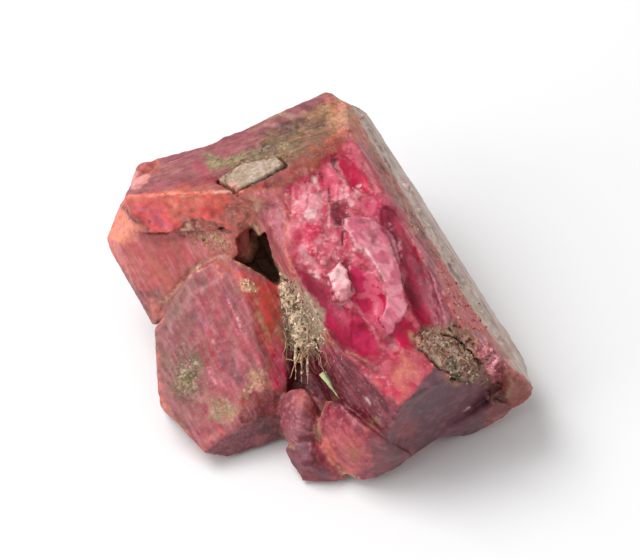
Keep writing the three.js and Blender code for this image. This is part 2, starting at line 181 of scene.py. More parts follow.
def ramp(low, high, x):
    """0 below low, 1 above high, smooth between."""
    t = np.clip((x - low) / (high - low), 0, 1)
    return t * t * (3 - 2 * t)


# ---------------------------------------------------------------- fine skins
def linear(red, green, blue):
    """A colour of 0 to 255 a channel, as light."""
    c = np.array([red, green, blue]) / 255
    return np.where(c <= 0.04045, c / 12.92, ((c + 0.055) / 1.055) ** 2.4)


def depth_inside(x, y, outline):
    """How far inside an outline of the picture a place is, less than 0 outside it."""
    nearest = np.full(len(x), 1e9)
    inside = np.zeros(len(x), bool)
    for (ax, ay), (bx, by) in zip(outline, outline[1:] + outline[:1]):
        nearest = np.minimum(nearest, from_segment(x, y, ax, ay, bx, by))
        if ay != by:
            inside ^= ((ay > y) != (by > y)) & (x < (bx - ax) * (y - ay) / (by - ay) + ax)
    return np.where(inside, nearest, -nearest)


def from_segment(x, y, ax, ay, bx, by):
    """How far a place of the picture is from a straight line between two others."""
    ex, ey = bx - ax, by - ay
    t = np.clip(((x - ax) * ex + (y - ay) * ey) / max(ex * ex + ey * ey, 1e-9), 0, 1)
    return np.hypot(x - ax - t * ex, y - ay - t * ey)


MOST_TRIANGLES = 196000  # in one skin
SLACK = 0.5  # how deep a skin may lie in its solid and still show
FACING = (0.02, 0.12)  # how much a point faces the eye when it begins to show, and shows fully


class Skin:
    """A fine copy of a CAD node, with what is painted on it."""

    HABITS = ("grit", "gloss", "glint")

    def __init__(self, node, voxel, slot):
        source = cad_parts[node]
        self.object = bpy.data.objects.new(node + "_skin", source.data.copy())
        bpy.context.scene.collection.objects.link(self.object)
        remesh = self.object.modifiers.new("fine", "REMESH")
        remesh.mode = "VOXEL"
        remesh.voxel_size = voxel * MM
        self.settle()
        self.node, self.slot = node, slot
        self.edges = np.empty(len(self.mesh.edges) * 2, np.int32)
        self.mesh.edges.foreach_get("vertices", self.edges)
        self.edges = self.edges.reshape(-1, 2)
        self.degree = np.bincount(self.edges.ravel(), minlength=self.count)
        self.everywhere = np.ones(self.count)
        self.tint = np.zeros((self.count, 3))
        self.habit = {name: np.zeros(self.count) for name in self.HABITS}

    def settle(self):
        """The modifiers become the mesh."""
        graph = bpy.context.evaluated_depsgraph_get()
        made = bpy.data.meshes.new_from_object(self.object.evaluated_get(graph))
        self.object.modifiers.clear()
        self.object.data = self.mesh = made
        self.count = len(made.vertices)
        co = np.empty(self.count * 3, np.float32)
        made.vertices.foreach_get("co", co)
        self.points = co.reshape(-1, 3) / MM
        self.turn_out()

    def turn_out(self):
        """Writes the points to the mesh and reads the normals back."""
        self.mesh.vertices.foreach_set("co", (self.points * MM).astype(np.float32).ravel())
        self.mesh.update()
        n = np.empty(self.count * 3, np.float32)
        self.mesh.vertex_normals.foreach_get("vector", n)
        self.normals = n.reshape(-1, 3).astype(float)

    def lift(self, height):
        """Moves each point out along its normal."""
        self.points = self.points + self.normals * np.asarray(height)[:, None]

    def averaged(self, values):
        """Each point's values, averaged over its neighbours."""
        a, b = self.edges.T
        columns = values.reshape(self.count, -1).T
        sums = [
            np.bincount(a, column[b], self.count) + np.bincount(b, column[a], self.count)
            for column in columns
        ]
        return (np.array(sums) / self.degree).T.reshape(values.shape)

    def soften(self, steps, where=1.0):
        """Rounds the skin off, as wear does."""
        share = np.broadcast_to(where, self.count)[:, None] * 0.5
        for _ in range(steps):
            self.points = self.points + share * (self.averaged(self.points) - self.points)

    def bend(self, steps):
        """How much the skin bends at each point: above 0 on edges, below 0 in creases."""
        middle = self.points
        for _ in range(steps):
            middle = self.averaged(middle)
        return ((self.points - middle) * self.normals).sum(1)

    def look(self):
        """Where each point lies in the picture, and whether the node's own solid leaves it in sight."""
        self.x, self.y = in_view(self.points)
        ray = self.points - EYE
        reach = np.linalg.norm(ray, axis=1)
        ray = ray / reach[:, None]
        facing = -(ray * self.normals).sum(1)
        tree = cad_tree(self.node)
        eye = Vector(EYE * MM)
        clear = np.zeros(self.count)
        for i in np.flatnonzero(facing > FACING[0]):
            hit = tree.ray_cast(eye, Vector(ray[i]))[3]
            clear[i] = hit is None or hit / MM > reach[i] - SLACK
        self.seen = self.averaged(clear) * ramp(*FACING, facing)
        self.wander = [
            self.noise(self.seen > 0, clouds, 2.4, 901 + i)
            + 0.8 * self.noise(self.seen > 0, clouds, 0.6, 911 + i)
            for i in range(2)
        ]

    def noise(self, mask, kind, size, seed, way=None):
        """Noise times a mask, drawn out along a way. Only where the mask is above 0."""
        there = np.flatnonzero(mask)
        points = self.points[there]
        if way is not None:
            points = points - (points @ way)[:, None] * way * (1 - 1 / STREAK)
        made = np.zeros(self.count)
        made[there] = mask[there] * kind(points, size, seed)
        return made

    def near(self, across, down, soft, rag):
        """The shown points about a part of the picture, and where they show, a little astray."""
        x = self.x + rag * self.wander[0]
        y = self.y + rag * self.wander[1]
        close = (x > min(across) - soft) & (x < max(across) + soft) & (self.seen > 0)
        close = np.flatnonzero(close & (y > min(down) - soft) & (y < max(down) + soft))
        return close, x[close], y[close]

    def within(self, outline, soft):
        """1 inside an outline of the picture, fading over soft steps at its ragged edge."""
        close, x, y = self.near(*zip(*outline), soft, 0.5 * soft)
        mask = np.zeros(self.count)
        inside = depth_inside(x, y, list(outline))
        mask[close] = ramp(-soft / 2, soft / 2, inside) * self.seen[close]
        return mask

    def along(self, path, width):
        """1 along a line of the picture, fading about half its width. One place makes a spot."""
        soft = max(2.0, width)
        close, x, y = self.near(*zip(*path), width + soft, 0.4 * soft)
        steps = list(zip(path, path[1:])) or [(path[0], path[0])]
        away = np.min([from_segment(x, y, *a, *b) for a, b in steps], axis=0)
        mask = np.zeros(self.count)
        mask[close] = ramp(width / 2 + soft / 2, width / 2 - soft / 2, away) * self.seen[close]
        return mask

    def paint(self, mask, tint=None, **habits):
        """Lays a tint and habits on the points, as far as the mask goes to 1."""
        if tint is not None:
            self.tint += mask[:, None] * (linear(*tint) - self.tint)
        for name, value in habits.items():
            self.habit[name] = self.habit[name] + mask * (value - self.habit[name])

    def mottle(self, mask, tint, size, share, seed, way=None, sharp=0.5, kind=clouds):
        """Paints a share of an area in soft spots about size across, drawn out along a way."""
        edge = 0.9 * (0.5 - share)
        cloud = self.noise(mask > 0, kind, size, seed, way)
        self.paint(mask * ramp(edge - sharp, edge + sharp, cloud), tint)

    def spread(self, steps):
        """Carries the paint a little way round the edges, to the points the view doesn't show."""
        shown = self.seen > 0.5
        share = shown.astype(float)
        carried = self.tint * share[:, None]
        for _ in range(steps):
            share = np.where(shown, share, self.averaged(share))
            carried = np.where(shown[:, None], carried, self.averaged(carried))
        blend = (ramp(0.02, 0.7, share) * ~shown)[:, None]
        self.tint += blend * (carried / np.maximum(share, 1e-6)[:, None] - self.tint)

    def thin(self):
        """Fewer faces where the view doesn't show them."""
        triangles = sum(len(p.vertices) - 2 for p in self.mesh.polygons)
        if triangles <= MOST_TRIANGLES:
            return
        group = self.object.vertex_groups.new(name="hidden")
        hidden = np.flatnonzero(self.seen < 0.01)
        group.add(hidden.tolist(), 1.0, "REPLACE")
        fewer = self.object.modifiers.new("fewer", "DECIMATE")
        fewer.ratio = MOST_TRIANGLES / triangles
        fewer.vertex_group = group.name
        fewer.use_collapse_triangulate = True
        self.settle()
        self.mesh.validate()
        self.object.vertex_groups.clear()

    def finish(self, material):
        self.turn_out()
        paint_mesh(self.mesh, self.tint, np.stack([self.habit[name] for name in self.HABITS], 1))
        self.thin()
        dress(self.object, material)
        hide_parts(self.node)


def paint_mesh(mesh, tint, habit):
    """Writes each point's tint and habit to the mesh, where the finishes read them."""
    for name, values in (("tint", tint), ("habit", habit)):
        layer = mesh.color_attributes.new(name, "FLOAT_COLOR", "POINT")
        rgba = np.ones((len(mesh.vertices), 4), np.float32)
        rgba[:, :3] = values
        layer.data.foreach_set("color", rgba.ravel())


def cad_tree(node):
    """The CAD node's surface, for rays to meet."""
    graph = bpy.context.evaluated_depsgraph_get()
    return BVHTree.FromObject(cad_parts[node], graph)


def dress(piece, material):
    """Material, smooth shading and body of a finished piece."""
    piece.data.materials.clear()
    piece.data.materials.append(material)
    piece.data.shade_smooth()
    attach(piece, "root")


# ---------------------------------------------------------------- shader expressions
class Wire:
    """A socket of a finish. Python arithmetic on wires adds Math nodes."""

    def __init__(self, finish, socket):
        self.finish, self.socket = finish, socket

    def _math(self, operation, a, b):
        return self.finish.node("ShaderNodeMath", {"operation": operation}, {0: a, 1: b})

    def __add__(self, other):
        return self._math("ADD", self, other)

    def __sub__(self, other):
        return self._math("SUBTRACT", self, other)

    def __rsub__(self, other):
        return self._math("SUBTRACT", other, self)

    def __mul__(self, other):
        return self._math("MULTIPLY", self, other)

    __radd__, __rmul__ = __add__, __mul__

    def above(self, low, high):
        """0 below low, 1 above high, smooth between."""
        settings = {"interpolation_type": "SMOOTHSTEP"}
        inputs = {"Value": self, "From Min": low, "From Max": high}
        return self.finish.node("ShaderNodeMapRange", settings, inputs)


class Finish:
    """One material, built from nodes."""

    def __init__(self, name):
        self.material = bpy.data.materials.new(name)
        self.material.use_nodes = True
        self.tree = self.material.node_tree
        self.tree.nodes.clear()
        self.place = self.node("ShaderNodeTexCoord", output="Object")

    def node(self, kind, settings=None, inputs=None, output=0):
        """A node of a kind, its settings, and values or wires for its inputs."""
        made = self.tree.nodes.new(kind)
        for key, value in (settings or {}).items():
            setattr(made, key, value)
        for key, value in (inputs or {}).items():
            if isinstance(value, Wire):
                self.tree.links.new(value.socket, made.inputs[key])
            else:
                made.inputs[key].default_value = value
        return Wire(self, made.outputs[output]) if made.outputs else None

    def mix(self, factor, a, b, blend="MIX"):
        """Colour a, turning into colour b as the factor goes to 1."""
        settings = {"data_type": "RGBA", "blend_type": blend}
        return self.node("ShaderNodeMix", settings, {0: factor, 6: a, 7: b}, 2)

    def painted(self, name):
        """What was painted on the points under a name."""
        return self.node("ShaderNodeAttribute", {"attribute_name": name}, output="Color")

    def parts(self, colour):
        """The three numbers that a painted colour holds."""
        made = self.node("ShaderNodeSeparateColor", {}, {"Color": colour}).socket.node
        return [Wire(self, socket) for socket in made.outputs]

    def noise(self, size, detail=3.0):
        """Cloudy noise from 0 to 1, its lumps about size across."""
        inputs = {"Vector": self.place, "Scale": 1 / (size * MM), "Detail": detail}
        return self.node("ShaderNodeTexNoise", {}, inputs)

    def cells(self, size, output="Distance"):
        """Angular cells about size across."""
        inputs = {"Vector": self.place, "Scale": 1 / (size * MM)}
        return self.node("ShaderNodeTexVoronoi", {}, inputs, output)

    def close(self, colour, roughness, height, depth, **sockets):
        """Ends in a surface with a bump depth millimetres high."""
        bump = self.node("ShaderNodeBump", {}, {"Height": height, "Distance": depth * MM})
        inputs = {"Base Color": colour, "Roughness": roughness, "Normal": bump}
        inputs.update({name.replace("_", " "): value for name, value in sockets.items()})
        surface = self.node("ShaderNodeBsdfPrincipled", {}, inputs)
        self.node("ShaderNodeOutputMaterial", {}, {"Surface": surface})
        return self.material


def compass(azimuth, slope):
    """The way from a compass way and a height above level, in degrees."""
    a, e = math.radians(azimuth), math.radians(slope)
    return np.array([math.cos(a) * math.cos(e), math.sin(a) * math.cos(e), math.sin(e)])


def rgb(*colour):
    """A colour of 0 to 255 a channel, as a socket takes it."""
    return (*linear(*colour), 1.0)


def way_of(x, y, x2, y2):
    """The direction in space of a line of the picture, on a surface square to the view."""
    way = (x2 - x) * ACROSS - (y2 - y) * UPWARD
    return way / np.linalg.norm(way)


def stone_finish(name, rough=0.5, gloss_share=0.36, bump=0.09, glow=0.12, grain=0.3):
    """Painted stone with grit, gloss and glints where they are painted."""
    f = Finish(name)
    tint = f.painted("tint")
    grit, gloss, glint = f.parts(f.painted("habit"))
    mottle = f.noise(0.6)
    fine = f.noise(0.15, 2.0)
    crumbs = f.cells(grain)
    cast = f.cells(grain, "Color")
    sparkle = f.parts(f.cells(0.22, "Color"))[0].above(0.86, 0.93)
    stony = 1 - gloss.above(0.22, 0.34)
    colour = f.mix(mottle.above(0.55, 0.3) * 0.22, tint, rgb(130, 70, 66), "MULTIPLY")
    colour = f.mix(stony * fine.above(0.5, 0.72) * 0.08, colour, rgb(235, 190, 180), "SCREEN")
    colour = f.mix(stony * fine.above(0.48, 0.3) * 0.14, colour, rgb(120, 60, 56), "MULTIPLY")
    colour = f.mix(grit * crumbs.above(0.45, 0.7) * 0.55, colour, rgb(96, 58, 50), "MULTIPLY")
    colour = f.mix(grit * f.parts(cast)[0].above(0.55, 0.9) * 0.3, colour, rgb(240, 204, 180))
    # painted highlight: tiny white glints mixed into the colour where glint is painted
    colour = f.mix(glint * sparkle * 0.7, colour, rgb(255, 232, 226))
    roughness = rough - gloss * gloss_share + grit * 0.2 + mottle * 0.12
    height = mottle * 0.4 + fine * 0.2 - grit * crumbs * 1.1
    return f.close(
        colour, roughness, height, bump,
        Coat_Weight=gloss * 0.2,
        Coat_Roughness=0.12,
        Specular_IOR_Level=0.28,
        IOR=1.6,
        Subsurface_Weight=glow,
        Subsurface_Radius=(1.0, 0.35, 0.35),
        Subsurface_Scale=1 * MM,
    )


def floor_finish():
    """Matt white board, a little uneven in tone."""
    f = Finish("white_board")
    tone = f.mix(f.noise(40) * 0.04, (0.86, 0.86, 0.865, 1), (0.8, 0.8, 0.8, 1))
    return f.close(tone, 0.9, f.noise(0.5), 0.01)


def lay_the_floor():
    """A plain floor under the cluster, as stage only."""
    mesh = bpy.data.meshes.new("floor")
    half = 1.5  # metres
    mesh.from_pydata([(-half, -half, 0), (half, -half, 0), (half, half, 0), (-half, half, 0)],
                     [], [(0, 1, 2, 3)])
    floor = bpy.data.objects.new("floor", mesh)
    bpy.context.scene.collection.objects.link(floor)
    mesh.materials.append(floor_finish())


# ---------------------------------------------------------------- areas of the cluster
AREAS = {
    "top": [(110, 198), (127, 195), (160, 193), (230, 193), (240, 189), (262, 180), (300, 158),
            (330, 142), (345, 131), (360, 126), (352, 88), (325, 80), (290, 95), (180, 148),
            (158, 155), (152, 170), (135, 183)],
    "top_stain": [(262, 136), (285, 128), (300, 112), (330, 108), (348, 112), (345, 131), (325, 143),
                  (300, 156), (285, 163), (262, 178), (240, 189), (222, 190), (215, 182), (222, 176),
                  (245, 163), (270, 152), (262, 146)],
    "top_olive": [(205, 152), (222, 157), (245, 156), (270, 148), (290, 146), (288, 154), (270, 156),
                  (247, 166), (222, 166), (206, 172)],
    "lath_face": [(225, 181), (241, 163), (262, 159), (280, 158), (278, 167), (262, 179), (240, 187)],
    "top_ochre": [(300, 112), (330, 104), (350, 104), (352, 132), (335, 133), (322, 124), (305, 122)],
    "corner_orange": [(336, 94), (362, 100), (366, 125), (356, 140), (340, 138), (336, 122)],
    "rust_bevel": [(236, 191), (262, 178), (300, 156), (328, 138), (345, 130), (358, 128), (352, 139),
                   (338, 147), (328, 157), (312, 171), (292, 184), (272, 190), (250, 193)],
    "nub": [(130, 160), (160, 156), (158, 172), (150, 176), (137, 171)],
    "nub_white": [(122, 184), (133, 171), (150, 174), (148, 183), (135, 188)],
    "ledge": [(118, 199), (127, 194), (160, 192), (230, 192), (242, 189), (255, 205), (252, 223),
              (245, 225), (237, 232), (229, 231), (222, 226), (212, 223), (204, 222), (198, 226),
              (190, 225), (184, 224), (178, 230), (165, 235), (150, 232), (138, 223), (128, 213)],
    "ledge_pink": [(135, 203), (152, 199), (166, 212), (176, 226), (165, 232), (150, 228), (138, 218)],
    "ledge_brown": [(228, 196), (245, 194), (256, 208), (252, 222), (238, 230), (226, 222)],
    "ledge_end": [(118, 200), (127, 203), (138, 217), (150, 229), (142, 229), (126, 214)],
    "wedge": [(92, 235), (110, 203), (122, 199), (130, 215), (150, 233), (165, 236), (182, 228),
              (200, 227), (232, 233), (238, 250), (212, 256), (200, 264), (185, 277), (165, 298),
              (156, 330), (135, 330), (92, 250)],
    "wedge_peach": [(92, 240), (110, 200), (124, 202), (134, 218), (142, 228), (122, 241), (106, 242)],
    "wedge_edge": [(92, 240), (104, 234), (118, 243), (134, 280), (146, 305), (157, 330), (135, 335),
                   (92, 255)],
    "wedge_low": [(118, 268), (140, 285), (165, 292), (157, 332), (135, 335)],
    "under_ledge": [(176, 231), (185, 226), (200, 228), (215, 227), (230, 234), (237, 247),
                    (228, 254), (215, 247), (200, 245), (186, 241)],
    "swelling": [(229, 236), (245, 226), (258, 228), (262, 245), (262, 262), (240, 263), (228, 256)],
    "hollow": [(246, 223), (262, 227), (276, 250), (285, 268), (287, 292), (278, 285), (262, 277),
               (240, 265), (252, 250), (252, 235)],
    "tablet": [(148, 330), (165, 298), (185, 277), (200, 263), (214, 256), (226, 254), (242, 261),
               (266, 276), (284, 284), (285, 330), (287, 360), (286, 394), (246, 424), (205, 456),
               (186, 446), (160, 416), (150, 380)],
    "tablet_grey": [(148, 330), (166, 298), (190, 275), (188, 330), (176, 370), (192, 436),
                    (162, 415), (150, 380)],
    "tablet_rim": [(236, 271), (252, 275), (284, 284), (286, 330), (287, 392), (266, 393),
                   (267, 350), (254, 302)],
    "rim_crimson": [(276, 338), (288, 345), (287, 392), (268, 390), (268, 365)],
    "chip": [(240, 279), (247, 279), (259, 288), (257, 293), (243, 290)],
    "speckle": [(178, 362), (192, 360), (200, 372), (197, 388), (186, 392), (176, 384)],
    "speckle_rim": [(252, 372), (264, 370), (266, 392), (248, 396), (236, 400), (240, 386)],
    "speckle_low": [(205, 398), (215, 395), (236, 408), (234, 424), (212, 420)],
    "red_facet": [(240, 396), (286, 390), (285, 416), (248, 425), (238, 420)],
    "foot": [(200, 458), (246, 424), (278, 414), (287, 447), (242, 464)],
    "mauve_lump": [(285, 392), (300, 384), (312, 390), (321, 405), (320, 438), (300, 448),
                   (283, 443), (277, 420)],
    "lump_orange": [(292, 390), (305, 390), (313, 400), (306, 408), (296, 404)],
    "lower_lump": [(284, 449), (300, 446), (320, 436), (342, 462), (354, 486), (300, 490), (286, 465)],
    "tongue": [(318, 402), (335, 397), (345, 410), (370, 430), (388, 430), (388, 484), (350, 488),
               (330, 467), (317, 445)],
    "tongue_red": [(322, 432), (345, 438), (372, 440), (376, 478), (352, 482), (328, 460)],
    "front_skin": [(248, 194), (285, 187), (292, 205), (289, 250), (297, 292), (281, 274), (262, 232)],
    "fracture": [(283, 188), (312, 170), (338, 147), (352, 139), (382, 185), (407, 230), (427, 270),
                 (442, 328), (412, 352), (385, 364), (345, 352), (303, 290), (288, 250)],
    "frost": [(288, 195), (315, 172), (335, 160), (345, 190), (350, 215), (343, 250), (350, 262),
              (330, 262), (318, 278), (300, 250), (291, 225)],
    "frost_red": [(296, 232), (312, 225), (322, 230), (312, 244), (298, 246)],
    "plate": [(346, 219), (356, 215), (370, 217), (382, 225), (393, 236), (397, 247), (400, 260),
              (402, 275), (405, 288), (406, 300), (409, 306), (405, 315), (402, 322), (396, 325),
              (394, 333), (387, 336), (384, 328), (378, 322), (379, 314), (385, 304), (386, 290),
              (383, 277), (377, 267), (369, 260), (366, 251), (356, 247), (352, 238), (345, 228)],
    "tooth": [(339, 261), (345, 268), (350, 281), (355, 294), (349, 299), (339, 301), (334, 292),
              (329, 274)],
    "white_patch": [(303, 214), (308, 210), (317, 211), (315, 218), (308, 221)],
    "crimson_top": [(336, 158), (352, 163), (368, 180), (368, 190), (352, 188), (342, 175)],
    "crimson_nook": [(320, 166), (334, 170), (341, 186), (331, 196), (321, 186)],
    "crimson_left": [(291, 268), (303, 272), (318, 278), (335, 305), (345, 312), (360, 313),
                     (372, 335), (396, 352), (380, 364), (345, 351), (318, 316), (300, 300)],
    "crimson_mid": [(350, 266), (362, 270), (377, 278), (384, 300), (381, 332), (364, 318), (351, 300)],
    "crimson_right": [(382, 208), (395, 212), (413, 240), (427, 275), (441, 326), (425, 336),
                      (412, 305), (402, 262), (390, 235)],
    "crimson_low": [(391, 325), (405, 318), (417, 330), (414, 350), (394, 346)],
    "front_dusk": [(328, 203), (344, 200), (350, 222), (340, 232), (330, 220)],
    "mauve_strip": [(356, 140), (366, 146), (384, 182), (408, 222), (442, 275), (462, 325),
                    (438, 328), (425, 270), (405, 230), (388, 205), (368, 185), (360, 160)],
    "lower_front": [(345, 350), (385, 362), (412, 350), (440, 330), (457, 330), (436, 368),
                    (402, 408), (370, 385), (350, 365)],
    "lower_glow": [(386, 362), (408, 356), (426, 362), (418, 384), (400, 398), (386, 384)],
    "dusky_strip": [(420, 262), (438, 266), (450, 290), (462, 324), (442, 328), (430, 300)],
    "coral_strip": [(434, 258), (444, 262), (480, 318), (494, 338), (472, 330), (458, 322), (444, 296)],
    "speckle_halo": [(172, 352), (196, 346), (208, 372), (204, 398), (184, 402), (170, 384)],
    "right_face": [(345, 92), (400, 140), (550, 380), (540, 396), (512, 364), (480, 320), (455, 280),
                   (420, 220), (385, 164), (358, 118)],
    "flank": [(283, 345), (318, 350), (345, 350), (370, 385), (402, 406), (388, 432), (345, 412),
              (320, 400), (300, 390), (285, 390)],
    "flank_top": [(318, 345), (345, 350), (385, 362), (372, 372), (350, 362), (326, 356)],
    "crust_ground": [(280, 272), (298, 282), (304, 298), (316, 312), (326, 328), (324, 345),
                     (305, 352), (284, 345)],
    "end": [(402, 406), (435, 367), (460, 382), (502, 381), (494, 402), (482, 430), (448, 442),
            (428, 450), (410, 466), (378, 486), (372, 440), (387, 431)],
    "end_red": [(385, 430), (402, 406), (418, 412), (414, 440), (400, 470), (376, 484)],
    "notch": [(486, 420), (497, 395), (508, 384), (513, 412)],
    "corner": [(508, 371), (520, 373), (540, 388), (532, 402), (512, 411), (505, 392)],
    "base": [(443, 437), (470, 433), (505, 416), (514, 410), (502, 430), (460, 444)],
    "patch_ground": [(412, 335), (430, 324), (456, 323), (478, 345), (487, 365), (492, 380),
                     (468, 386), (448, 376), (444, 352), (422, 352)],
    "patch_crystals": [(470, 328), (495, 345), (510, 368), (495, 382), (478, 358)],
    "plate_foot": [(368, 308), (384, 318), (388, 340), (376, 342)],
    "frost_ridge": [(344, 188), (364, 182), (366, 206), (346, 214)],
    "olive_spot": [(276, 144), (294, 144), (292, 158), (278, 158)],
    "edge_chips": [(404, 208), (412, 206), (438, 250), (430, 256), (412, 228)],
    "flank_head": [(318, 350), (345, 356), (350, 372), (330, 368)],
    "crust_mat": [(281, 276), (300, 286), (302, 300), (320, 325), (320, 345), (300, 348), (284, 340)],
    "left_fringe": [(283, 336), (292, 338), (292, 360), (284, 360)],
    "middle_fringe": [(298, 344), (310, 346), (306, 362), (300, 362)],
    "right_fringe": [(310, 345), (326, 350), (330, 366), (316, 362)],
    "patch_needles": [(416, 336), (450, 326), (470, 345), (470, 368), (448, 362)],
}
# lines on the cluster that strokes follow
RIGHT_EDGE = [(350, 112), (357, 122), (385, 167), (420, 222), (455, 282), (480, 322), (512, 364),
              (532, 390)]
LEDGE_CRACK = [(126, 207), (131, 217), (150, 232), (165, 235), (180, 227), (190, 222), (204, 222),
               (213, 224), (222, 232), (232, 232), (246, 225)]
LEDGE_TOP = [(128, 198), (160, 194), (230, 193), (242, 190)]
TABLET_TOP = [(160, 304), (185, 278), (203, 263), (214, 257), (226, 257), (242, 264), (266, 278),
              (281, 285)]
TABLET_FOOT = [(152, 350), (158, 390), (168, 416), (190, 441), (206, 452)]
TONGUE_LEFT = [(336, 399), (324, 402), (319, 418), (320, 440), (330, 460), (338, 469), (352, 480)]
PLATE_EDGE = [(346, 219), (345, 228), (352, 238), (356, 247), (366, 251), (377, 267), (385, 282)]
CLEFT_RIM = [(254, 225), (262, 239), (271, 252), (281, 268), (284, 278)]

LEVEL = way_of(180, 185, 330, 115)  # the ways that streaks run on the faces
STEEP = way_of(215, 270, 258, 345)
PLUNGE = way_of(300, 345, 345, 410)
EDGEWAYS = way_of(385, 167, 480, 322)
ROUND = way_of(285, 410, 315, 418)
STREAK = 12  # how many times longer a streak is than wide

# ---------------------------------------------------------------- colours of the stone
SOOT = (30, 20, 16)
UMBER = (70, 40, 30)
BROWN = (118, 70, 50)
OLIVE = (98, 84, 52)
KHAKI = (148, 134, 94)
MUSTARD = (158, 104, 44)
STRAW = (196, 152, 112)
CREAM = (246, 214, 178)
RUST = (156, 58, 36)
BRICK = (160, 60, 54)
ORANGE = (198, 84, 48)
CORAL = (244, 80, 76)
SALMON = (214, 118, 102)
PEACH = (236, 144, 112)
TERRACOTTA = (188, 96, 84)
ROSE = (182, 68, 82)
DUSK = (134, 64, 72)
MAUVE = (152, 76, 86)
PLUM = (106, 54, 68)
WINE = (84, 16, 32)
GARNET = (118, 10, 42)
CRIMSON = (170, 0, 54)
SCARLET = (206, 0, 72)
CERISE = (208, 24, 92)
PINK = (216, 100, 122)
LILAC = (184, 100, 126)
BLUSH = (230, 154, 164)
FROST = (252, 216, 214)
TAUPE = (134, 94, 82)
ASH = (214, 194, 186)
SLATE = (94, 70, 76)
SILT = (180, 166, 138)
SAGE = (160, 194, 134)

